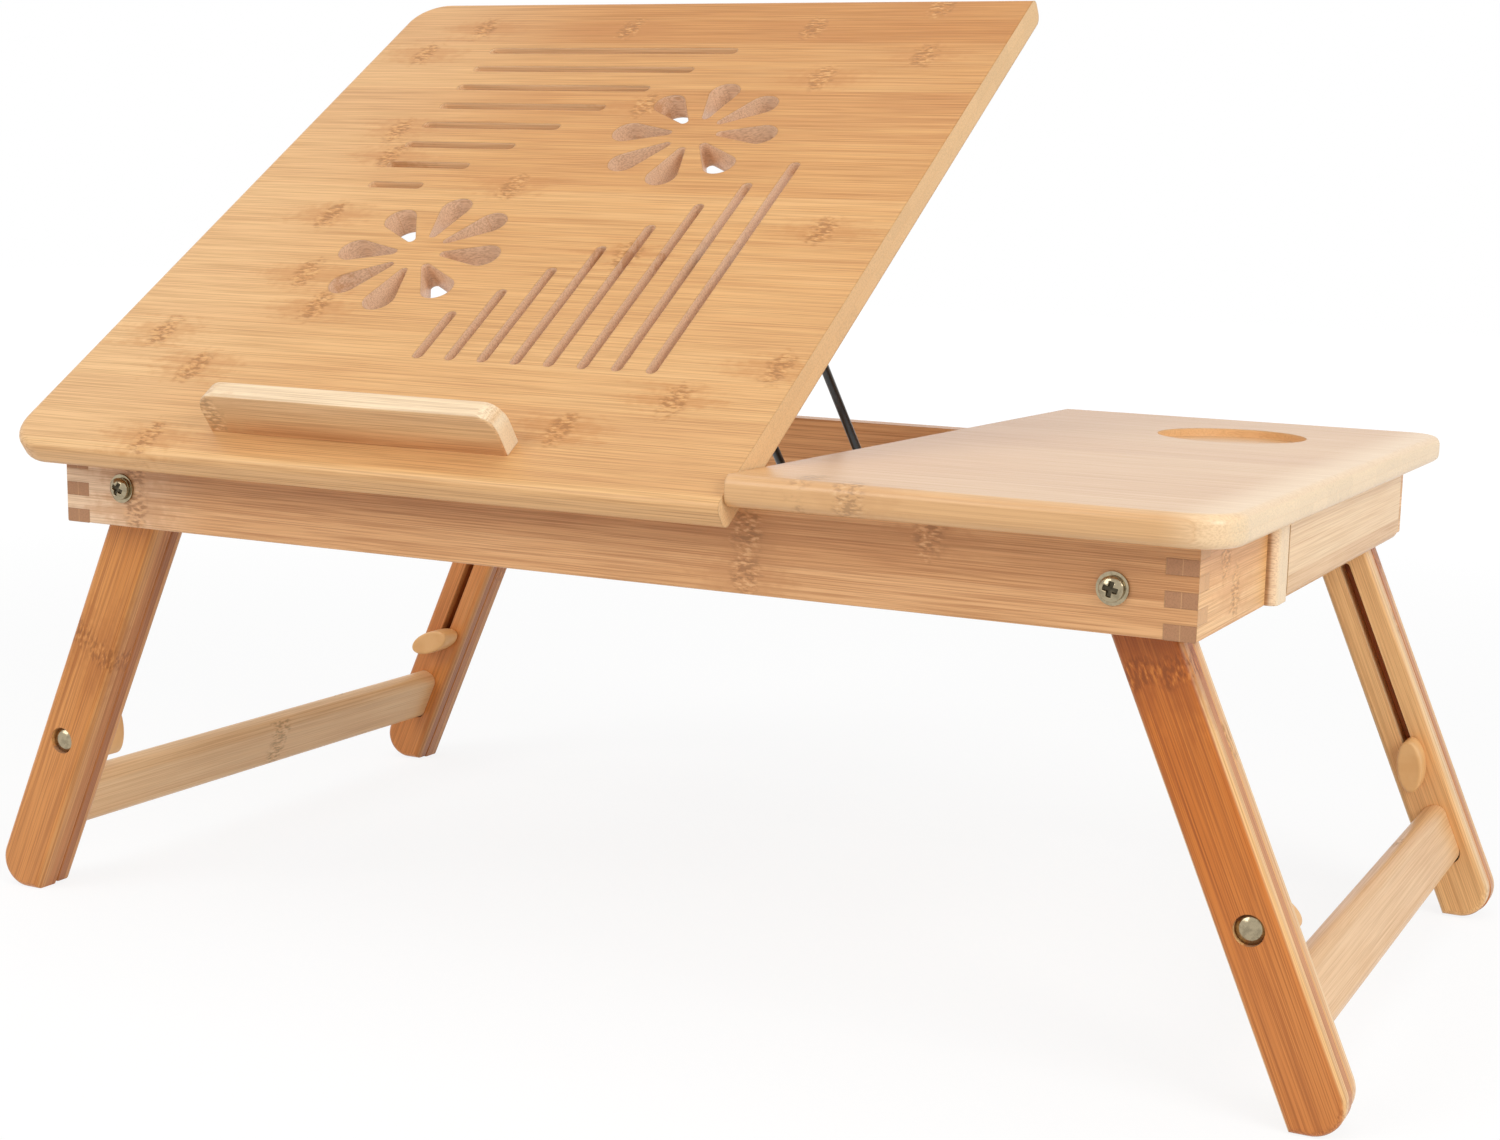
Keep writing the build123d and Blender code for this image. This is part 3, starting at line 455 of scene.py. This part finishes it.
# Where the panel is routed through, petals and cross slots in front and long slots at the back left,
# and where the fixed top has its cup recess
PANEL_VENTS = (
    (-260.0, 70.0, -150.0, 8.0, VENT_WALL_PAINTED_LIGHT), (-91.0, 70.0, 8.0, 104.0, VENT_WALL_PAINTED_LIGHT),
    (-260.0, -91.0, 8.0, 104.0, SLOT_WALL_PAINTED_LIGHT), (-260.0, 70.0, 104.0, 165.0, SLOT_WALL_PAINTED_LIGHT))
CUP_RECESS = (82.0, 255.0, -170.0, 170.0, CUP_WALL)

# Knuckles, along and across each board; those of the tilting panel are given for its closed position
PANEL_MARKS = (
    (-212.6, 152.8), (-127.4, 152.8), (-26.9, 152.8), (31.8, 171.7), (39.5, 128.8), (-4.3, 108.9),
    (-234.8, 129.5), (-208.6, 59.1), (-200.0, 38.1), (-84.9, 83.7), (-119.7, 14.9), (-203.3, -11.0),
    (46.1, -9.4), (-36.1, -31.6), (-187.7, -55.9), (-167.8, -78.1), (-234.8, -102.4), (66.0, -101.4),
    (31.2, -124.0), (-202.0, -124.0), (-8.6, -146.2), (-193.4, -170.2))
FIXED_MARKS = ((126.0, -180.0), (106.0, -171.0))
RAIL_MARKS = ((-213.0, 181.0), (-213.0, 197.0), (77.0, 181.0), (77.0, 197.0), (150.0, 203.0))
STUB_MARKS = ((-132.0, 200.0), (-118.0, 184.0))
LEDGE_MARKS = ((-161.0, 229.0),)
LEG_MARKS = ((158.0, 211.0), (155.0, 227.0))
LEFT_LEG_MARKS = ((112.0, -228.0), (108.0, -212.0))

# Stretches made paler or darker: way, start, end, tone and share. Those of the tilting panel, the
# rails' left end, the fixed top's right end, the right legs' tops and the drawer cheek are painted light
# and shade; the fixed top is warmer towards its seam, the ledge darker towards its foot and the legs
# paler towards their feet
# Painted light and shade: the tilting panel paler towards its front edge and left end, darker towards its
# back
PANEL_PAINTED_LIGHT_FADES = (
    ("across", 40.0, -170.0, PANEL_PAINTED_LIGHT, 0.3), ("across", 70.0, 175.0, PANEL_PAINTED_SHADE, 0.5),
    ("along", -130.0, -250.0, PANEL_PAINTED_LIGHT, 0.4))
FIXED_FADES = (("along", 185.0, 85.0, FIXED_WARM, 0.5),)
# Painted highlight: the fixed top paler towards its right end, in the tone of its end grain
FIXED_PAINTED_HIGHLIGHT = (("along", 238.0, 262.0, FIXED_END_AND_HIGHLIGHT, 0.75),)
# Painted light: the rails paler towards their left end
RAIL_PAINTED_LIGHT_END = (("along", -170.0, -240.0, RAIL_PAINTED_LIGHT, 0.85),)
LEDGE_FADES = (("across", 230.0, 221.0, LEDGE_FOOT, 0.6),)
# Painted shade: the drawer cheek keeps the darker rail tones next to the stub, where shade falls in the gap,
# and turns pale towards its end grain
CHEEK_SHADE_FADES = (("along", 250.0, 251.6, CHEEK_END, 0.9),)
FOOT_FADE = ("along", 110.0, 10.0, LEG_FOOT, 0.35)
# Painted shade: the right legs darker towards their tops, under the apron
TOP_PAINTED_SHADE = ("along", 130.0, 168.0, LEG_TOP_SHADE, 0.45)

# Widths of the strips and the thin plies of the sliding legs in millimetres, eased edges in metres
RAIL_STRIP = 17.1
LEG_STRIP = 30.0
BAR_STRIP = 60.0
SLIDE_PLY = 4.2
TOP_EASE = 0.0011

# Left and right copies of the leg finishes: painted shade on the left legs' edges and slides, painted light
# on the right slides and a painted highlight on the right legs' arris
LEG_LIT_AND_SHADED_LOOKS = {
    "right": {"tones": LEG, "edge": LEG_EDGES_AND_HIGHLIGHT, "marks": LEG_MARKS, "fades_and_painted_light": (FOOT_FADE, TOP_PAINTED_SHADE)},
    "left": {"tones": LEFT_LEG, "edge": LEFT_LEG_SHADED_EDGES, "marks": LEFT_LEG_MARKS, "fades_and_painted_light": (FOOT_FADE,)},
}
SLIDE_LIT_AND_SHADED_LOOKS = {
    "right": {"tones": SLIDE_LIT_TONES, "edge": SLIDE_EDGES},
    "left": {"tones": LEFT_SLIDE_SHADED, "edge": LEFT_SLIDE_SHADED_EDGES},
}
BAR_TONES = {"right": BAR, "left": CREAM}

# Mapping that lays the tilting panel in its closed position
tilted_back = Matrix.Rotation(-TILT, 3, "X") @ HINGE_LINE
laid = {"turn": (-TILT, 0, 0), "shift": tuple(HINGE_LINE - tilted_back)}


def upright(hand):
    """Mapping that stands a leg upright, so its grain runs along Z."""
    pivot = Vector((hand * PIVOT_X, 0, PIVOT_Z)) * MM
    angle = hand * SPLAY
    turned = Matrix.Rotation(angle, 3, "Y") @ pivot
    return {"turn": (0, angle, 0), "shift": tuple(pivot - turned)}


def dress(names, material):
    """Gives the CAD pieces of these names one finish."""
    for name in names:
        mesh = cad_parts[name].data
        mesh.materials.clear()
        mesh.materials.append(material)


# Tops and ledge
dress(["tilt_panel"],
      bamboo("panel_bamboo", "XYZ", PANEL, PANEL_END, face=219.5, seed=1.0, marks=PANEL_MARKS,
             edge=(PANEL_EDGE, PANEL_EDGE), routed=PANEL_VENTS, fades_and_painted_light=PANEL_PAINTED_LIGHT_FADES,
             vary=0.34, coat=0.05, ease=TOP_EASE, **laid))
dress(["fixed_top"],
      bamboo("fixed_panel_bamboo", "XYZ", FIXED, FIXED_END_AND_HIGHLIGHT, face=219.2, seed=7.0, marks=FIXED_MARKS,
             edge=(PANEL_EDGE, PANEL_EDGE), routed=(CUP_RECESS,), fades_and_painted_light=FIXED_FADES, painted_highlights=FIXED_PAINTED_HIGHLIGHT,
             vary=0.3, lining=0.25, coat=0.45, ease=TOP_EASE))
dress(["page_ledge"],
      bamboo("ledge_bamboo", "XZY", LEDGE, LEDGE_TOP, face=163.6, seed=2.0, marks=LEDGE_MARKS,
             edge=(LEDGE_TOP, LEDGE_TOP), fades_and_painted_light=LEDGE_FADES, **laid))

# Apron and what hangs under it
dress(["front_rail", "rear_rail"],
      bamboo("rail_bamboo", "XZY", RAIL, END_TAN, face=163.5, seed=3.0, strip=RAIL_STRIP,
             marks=RAIL_MARKS, fades_and_painted_light=RAIL_PAINTED_LIGHT_END, lining=0.6))
dress(["left_end_rail", "right_front_stub", "right_rear_post"],
      bamboo("end_rail_bamboo", "YZX", STUB, END_BROWN, face=250.0, seed=5.0, strip=RAIL_STRIP,
             marks=STUB_MARKS, share=0.2))
dress(["seam_slat", "prop_rack"],
      bamboo("slat_bamboo", "YXZ", CREAM, END_BROWN, face=207.2, seed=13.0, share=0.3))
dress(["rack_arms"],
      bamboo("arm_bamboo", "XYZ", CREAM, END_BROWN, face=201.8, seed=14.0, share=0.3))

# Drawer and its housing
dress(["drawer_front", "drawer_back", "drawer_divider"],
      bamboo("drawer_bamboo", "YZX", CREAM, END_PALE, face=254.0, seed=9.0, strip=RAIL_STRIP,
             share=0.3, lining=0.28))
dress(["drawer_side_near", "drawer_side_far", "drawer_cheek_far", "drawer_runners"],
      bamboo("housing_bamboo", "XZY", CREAM, END_PALE, face=100.0, seed=11.0, strip=RAIL_STRIP, share=0.3))
# The cheek takes the darker rail tones, partly as the tone of its broad face and partly as painted shade
# beside the stub
dress(["drawer_cheek_near"],
      bamboo("cheek_shaded_bamboo", "XZY", RAIL, CHEEK_END, face=74.8, seed=12.0, strip=RAIL_STRIP,
             share=0.3, fades_and_painted_light=CHEEK_SHADE_FADES))
dress(["drawer_bottom"],
      bamboo("tray_bamboo", "XYZ", CREAM, END_BROWN, face=184.5, seed=15.0, share=0.3))

# Legs, with left and right copies of their finishes that carry painted light and shade
for hand, side in SIDES:
    dress([side + "_near_outer_leg", side + "_far_outer_leg"],
          bamboo(side + "_leg_bamboo", "ZXY", end=END_BROWN, face=151.0, seed=17.0 + hand,
                 strip=LEG_STRIP, lining=0.65, **LEG_LIT_AND_SHADED_LOOKS[side], **upright(hand)))
    dress([side + "_near_inner_leg", side + "_far_inner_leg"],
          bamboo(side + "_slide_bamboo", "ZXY", end=END_BROWN, face=139.2, seed=21.0 + hand,
                 strip=LEG_STRIP, ply=SLIDE_PLY, share=0.4, **SLIDE_LIT_AND_SHADED_LOOKS[side], **upright(hand)))
    dress([side + "_crossbar"],
          bamboo(side + "_crossbar_bamboo", "YZX", BAR_TONES[side], END_BROWN, face=300.0,
                 seed=25.8 + hand * 1.4, strip=BAR_STRIP, share=0.5, lining=0.3, vary=0.2,
                 **upright(hand)))

# Metal and plastic
bright_plate = steel("bright_zinc", tint(172, 158, 130), gloss=0.14, seed=3.0)
knob_tan = moulded("tan_moulding", tint(236, 186, 124), tint(230, 177, 114),
                   gloss=0.4, grain=4.0, strength=0.12, coat=0.1)
dress(["pivot_washers", "pivot_nuts"], bright_plate)
dress(["hinge_leaves_lower", "hinge_leaves_upper", "hinge_pins",
       "hinge_screws_lower", "hinge_screws_upper", "ledge_screws"],
      steel("hinge_steel", tint(170, 166, 158), gloss=0.3, seed=8.0))
dress(["prop_wire"],
      moulded("black_enamel", tint(26, 26, 28), tint(16, 16, 18),
              gloss=0.3, grain=3.0, strength=0.12, coat=0.3))
dress(["prop_bearings"],
      moulded("black_moulding", tint(34, 34, 36), tint(26, 26, 28),
              gloss=0.45, grain=5.0, strength=0.2, coat=0.0))


def turn_steps(count):
    """Angles of one full turn in equal steps."""
    return [2 * pi * step / count for step in range(count)]


def skinned(name, form, loops):
    """Smooth mesh through the loops of points, with both ends filled."""
    for first, second in zip(loops, loops[1:]):
        for step in range(len(first)):
            after = (step + 1) % len(first)
            form.faces.new((first[step], second[step], second[after], first[after]))
    form.faces.new(loops[0])
    form.faces.new(loops[-1][::-1])
    bmesh.ops.recalc_face_normals(form, faces=form.faces)
    mesh = bpy.data.meshes.new(name)
    form.to_mesh(mesh)
    form.free()
    mesh.shade_smooth()
    return mesh


# Bolt heads: the recess as shares of the head's radius, edges in millimetres
BOLT_STEPS, BOLT_RINGS = 72, 34
RECESS_REACH, RECESS_WIDTH = 0.6, 0.19
RECESS_SOFT = 0.3
RECESS_RISE = 0.45
DOME_POWER = 2.4
RIM_SHARE = 0.9
HEAD_EDGE, TIP_EDGE = 0.2, 0.4


def soft_step(value, edge):
    """1 well inside the edge of the recess, 0 well outside it, smooth between."""
    share = min(max((edge - value) / RECESS_SOFT + 0.5, 0.0), 1.0)
    return share * share * (3 - 2 * share)


def bolt_form(name, radius, height, crown, recess, shank, length):
    """Bolt about Z with its head upwards from zero: domed cap, cross recess if any, and plain shank."""
    arm_long = radius * RECESS_REACH
    arm_wide = radius * RECESS_WIDTH
    form = bmesh.new()

    def ring(reach, level):
        loop = []
        for angle in turn_steps(BOLT_STEPS):
            spot = (reach * cos(angle) * MM, reach * sin(angle) * MM, level(reach, angle) * MM)
            loop.append(form.verts.new(spot))
        return loop

    def in_cross(x, y):
        wide = soft_step(abs(x), arm_long) * soft_step(abs(y), arm_wide)
        tall = soft_step(abs(y), arm_long) * soft_step(abs(x), arm_wide)
        return max(wide, tall)

    def dome(reach, angle):
        in_recess = in_cross(reach * cos(angle), reach * sin(angle))
        sunk = recess * in_recess * (1 - RECESS_RISE * reach / arm_long)
        return height - crown * (reach / radius) ** DOME_POWER - sunk

    def flat(level):
        return lambda reach, angle: level

    rim = (height - crown) * RIM_SHARE
    outline = [(radius, rim), (radius, HEAD_EDGE), (radius - HEAD_EDGE, 0.0),
               (shank, 0.0), (shank, TIP_EDGE - length), (shank - TIP_EDGE, -length)]
    loops = [ring(radius * (step + 0.5) / BOLT_RINGS, dome) for step in range(BOLT_RINGS)]
    loops += [ring(reach, flat(level)) for reach, level in outline]
    mesh = skinned(name, form, loops)
    # Painted shade: how far each point lies in the cross recess
    recess_shade = mesh.attributes.new("sunk", "FLOAT", "POINT")
    for vertex, item in zip(mesh.vertices, recess_shade.data):
        x, y, z = vertex.co / MM
        item.value = in_cross(x, y) if recess and z > 0 else 0.0
    return new_object(name, mesh)


def bolt_tree():
    """Sets one bolt on each point, facing as the point says and turned by chance."""
    tree = bpy.data.node_groups.new("bolts_on_points", "GeometryNodeTree")
    sockets = {}
    for label, kind in (("Geometry", "NodeSocketGeometry"), ("Bolt", "NodeSocketObject"),
                        ("Finish", "NodeSocketMaterial"), ("Seed", "NodeSocketInt")):
        sockets[label] = tree.interface.new_socket(label, in_out="INPUT", socket_type=kind).identifier
    tree.interface.new_socket("Geometry", in_out="OUTPUT", socket_type="NodeSocketGeometry")
    flow = Flow(tree)
    points = flow.node("NodeGroupInput")
    bolt = flow.node("GeometryNodeObjectInfo", None, {"Object": points.other("Bolt")}, out="Geometry")
    outward = flow.node("GeometryNodeInputNamedAttribute", {"data_type": "FLOAT_VECTOR"},
                        {"Name": "outward"})
    aimed = flow.node("FunctionNodeAlignRotationToVector", {"axis": "Z"}, {"Vector": outward})
    chance = flow.node("FunctionNodeRandomValue", {"data_type": "FLOAT"},
                       {2: 0.0, 3: pi / 2, "Seed": points.other("Seed")}, out=1)
    placed = flow.node("GeometryNodeInstanceOnPoints", None,
                       {"Points": points, "Instance": bolt, "Rotation": aimed})
    spin = flow.vector(0.0, 0.0, chance)
    turned = flow.node("GeometryNodeRotateInstances", None,
                       {"Instances": placed, "Rotation": spin, "Local Space": True})
    real = flow.node("GeometryNodeRealizeInstances", None, {"Geometry": turned})
    painted = flow.node("GeometryNodeSetMaterial", None,
                        {"Geometry": real, "Material": points.other("Finish")})
    result = tree.nodes.new("NodeGroupOutput")
    tree.links.new(painted.socket, result.inputs[0])
    return tree, sockets


bolts_on_points, bolt_sockets = bolt_tree()


def set_bolts(name, bolt, places, finish, body, node, seed):
    """Bolts at the given places, as one plain piece that stands for a node."""
    carrier = bpy.data.meshes.new(name + "_places")
    carrier.from_pydata([Vector(place) * MM for place in places], [], [])
    outward = carrier.attributes.new("outward", "FLOAT_VECTOR", "POINT")
    for item, place in zip(outward.data, places):
        item.vector = (0.0, -1.0 if place[1] < 0 else 1.0, 0.0)
    holder = new_object(name + "_places", carrier)
    spread = holder.modifiers.new("bolts", "NODES")
    spread.node_group = bolts_on_points
    spread[bolt_sockets["Bolt"]] = bolt
    spread[bolt_sockets["Finish"]] = finish
    spread[bolt_sockets["Seed"]] = seed
    graph = bpy.context.evaluated_depsgraph_get()
    mesh = bpy.data.meshes.new_from_object(holder.evaluated_get(graph))
    mesh.name = name
    bpy.data.objects.remove(holder)
    piece = new_object(name, mesh)
    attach(piece, body)
    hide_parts(node)


# Faces that the bolt heads lie on, in millimetres from the middle of the table
PIVOT_HEAD_Y = 164.5
HEIGHT_HEAD_Y = 148.0

pan_bolt = bolt_form("pan_bolt", radius=4.6, height=3.0, crown=1.5, recess=1.9, shank=2.5, length=31.2)
pivot_places = [(x, y, PIVOT_Z) for x in (-PIVOT_X, PIVOT_X) for y in (-PIVOT_HEAD_Y, PIVOT_HEAD_Y)]
set_bolts("pivot_bolt_set", pan_bolt, pivot_places, bright_plate, "frame", "pivot_bolts", seed=4)
dome_bolt = bolt_form("dome_bolt", radius=5.3, height=2.6, crown=1.5, recess=0.0, shank=2.0, length=27.9)
for hand, side in SIDES:
    leg_places = [(hand * HEIGHT_BOLT_X, y, HEIGHT_BOLT_Z) for y in (-HEIGHT_HEAD_Y, HEIGHT_HEAD_Y)]
    set_bolts(side + "_height_bolt_set", dome_bolt, leg_places, bright_plate,
              side + "_leg_pair", side + "_height_bolts", seed=6)
for master in (pan_bolt, dome_bolt):
    bpy.data.objects.remove(master)

# Thumb knobs, in millimetres: half the oval, its seat on the leg, and insets at heights above the seat
KNOB_STEPS = 64
KNOB_HALF_LONG, KNOB_HALF_WIDE = 12.0, 5.7
KNOB_SEAT = Vector((HEIGHT_BOLT_X, -130.4, HEIGHT_BOLT_Z))
KNOB_PROFILE = (
    (0.9, 0.0), (0.35, 0.12), (0.1, 0.5), (0.0, 1.1), (0.0, 6.0), (0.0, 10.9),
    (0.12, 11.45), (0.42, 11.8), (0.9, 11.97), (1.6, 12.0), (3.4, 11.9))

# Corner, its signs in X and Y as seen from the near right one, and the turn its knob is left in
KNOB_CORNERS = (("right_near", 1, 1, -42.0), ("right_far", 1, -1, 16.0),
                ("left_near", -1, 1, 27.0), ("left_far", -1, -1, 136.0))


def knob_form(name, hand, row, turn, finish):
    """Oval thumb knob with a flat face, set on a height bolt at the turn it is left in."""
    leg_way = Vector((sin(SPLAY), 0, -cos(SPLAY)))
    cross_way = Vector((-cos(SPLAY), 0, -sin(SPLAY)))
    long_way = cos(turn) * leg_way + sin(turn) * cross_way
    wide_way = cos(turn) * cross_way - sin(turn) * leg_way
    form = bmesh.new()

    def ring(inset, out):
        loop = []
        for angle in turn_steps(KNOB_STEPS):
            along = long_way * (KNOB_HALF_LONG - inset) * cos(angle)
            across = wide_way * (KNOB_HALF_WIDE - inset) * sin(angle)
            spot = KNOB_SEAT + along + across
            loop.append(form.verts.new((spot.x * hand * MM, (spot.y + out) * row * MM, spot.z * MM)))
        return loop

    mesh = skinned(name + "_oval", form, [ring(inset, out) for inset, out in KNOB_PROFILE])
    mesh.materials.append(finish)
    piece = new_object(name + "_oval", mesh)
    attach(piece, name)
    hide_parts(name)


for corner, hand, row, turn in KNOB_CORNERS:
    knob_form(corner + "_knob", hand, row, radians(turn), knob_tan)

# Studio, in metres: pale floor that glows more the further it is from the table, and white surround
AMBIENT = 0.4
HALF_FLOOR = 6.0
FLOOR_GREY = (0.86, 0.86, 0.86, 1)
FLOOR_GLOW, GLOW_STRENGTH = 0.82, 1.045
GLOW_NEAR, GLOW_FAR = 0.6, 2.0


def seen_directly(flow):
    """1 for what the camera, a mirror or glass looks at, 0 for the light that falls on things."""
    path = flow.node("ShaderNodeLightPath", None, None, out="Is Camera Ray")
    return path.larger(path.other("Is Glossy Ray")).larger(path.other("Is Transmission Ray"))


world = bpy.data.worlds.new("studio")
bpy.context.scene.world = world
world.use_nodes = True
sky = Flow(world.node_tree)
backdrop = world.node_tree.nodes["Background"]
backdrop.inputs["Color"].default_value = WHITE
sky.tree.links.new(seen_directly(sky).fade(0.0, 1.0, AMBIENT, 1.0).socket, backdrop.inputs["Strength"])

floor_corners = [(-HALF_FLOOR, -HALF_FLOOR, 0), (HALF_FLOOR, -HALF_FLOOR, 0),
                 (HALF_FLOOR, HALF_FLOOR, 0), (-HALF_FLOOR, HALF_FLOOR, 0)]
floor_mesh = bpy.data.meshes.new("studio_floor")
floor_mesh.from_pydata(floor_corners, [], [(0, 1, 2, 3)])
new_object("studio_floor", floor_mesh)
floor_paint = bpy.data.materials.new("floor_white")
floor_paint.use_nodes = True
floor_tree = floor_paint.node_tree
floor_tree.nodes.remove(floor_tree.nodes["Principled BSDF"])
ground = Flow(floor_tree)
matt = ground.node("ShaderNodeBsdfDiffuse", None, {"Color": FLOOR_GREY})
lit = ground.node("ShaderNodeEmission", None, {"Color": WHITE, "Strength": GLOW_STRENGTH})
outwards = ground.node("ShaderNodeTexCoord", None, None, out="Object").distance((0, 0, 0))
glow = outwards.fade(GLOW_NEAR, GLOW_FAR, FLOOR_GLOW, 1.0)
ground_mix = ground.node("ShaderNodeMixShader", None, {0: seen_directly(ground) * glow, 1: matt, 2: lit})
floor_tree.links.new(ground_mix.socket, floor_tree.nodes["Material Output"].inputs["Surface"])
floor_mesh.materials.append(floor_paint)

MIDDLE = Vector((0, 0, 0.2))


def lamp(name, place, size, power):
    """Soft square lamp, aimed at the middle of the table."""
    data = bpy.data.lights.new(name, "AREA")
    data.shape = "SQUARE"
    data.size = size
    data.energy = power
    thing = new_object(name, data)
    thing.location = place
    thing.rotation_euler = (MIDDLE - Vector(place)).to_track_quat("-Z", "Y").to_euler()


lamp("key", place=(2.2, -1.0, 1.5), size=1.4, power=32.0)
lamp("fill", place=(-1.3, -2.0, 1.5), size=1.4, power=22.0)
lamp("top", place=(0.0, -0.3, 2.4), size=1.8, power=13.0)

# Camera at the photograph's viewpoint: picture size, focal length and optical axis in its pixels
PHOTO_WIDTH = 1500.0
PHOTO_HEIGHT = 1140.0
FOCAL = 2232.74
AXIS_X, AXIS_Y = 922.08, 598.89
YAW, PITCH, ROLL = 0.4102, -0.1708, -0.0323
EYE = Vector((460.88, -882.42, 313.62)) * MM
NEAREST_SEEN = 0.01
ahead = Vector((-sin(YAW) * cos(PITCH), cos(YAW) * cos(PITCH), sin(PITCH)))
level = ahead.cross(Vector((0, 0, 1))).normalized()
under = ahead.cross(level)
right = cos(ROLL) * level + sin(ROLL) * under
down = -sin(ROLL) * level + cos(ROLL) * under
lens = bpy.data.cameras.new("viewpoint")
lens.sensor_fit = "HORIZONTAL"
lens.lens = lens.sensor_width * FOCAL / PHOTO_WIDTH
lens.shift_x = (PHOTO_WIDTH / 2 - AXIS_X) / PHOTO_WIDTH
lens.shift_y = (AXIS_Y - PHOTO_HEIGHT / 2) / PHOTO_WIDTH
lens.clip_start = NEAREST_SEEN
camera = new_object("viewpoint", lens)
camera.matrix_world = Matrix((right, -down, -ahead)).transposed().to_4x4()
camera.location = EYE
bpy.context.scene.camera = camera
bpy.context.scene.view_settings.view_transform = "Standard"
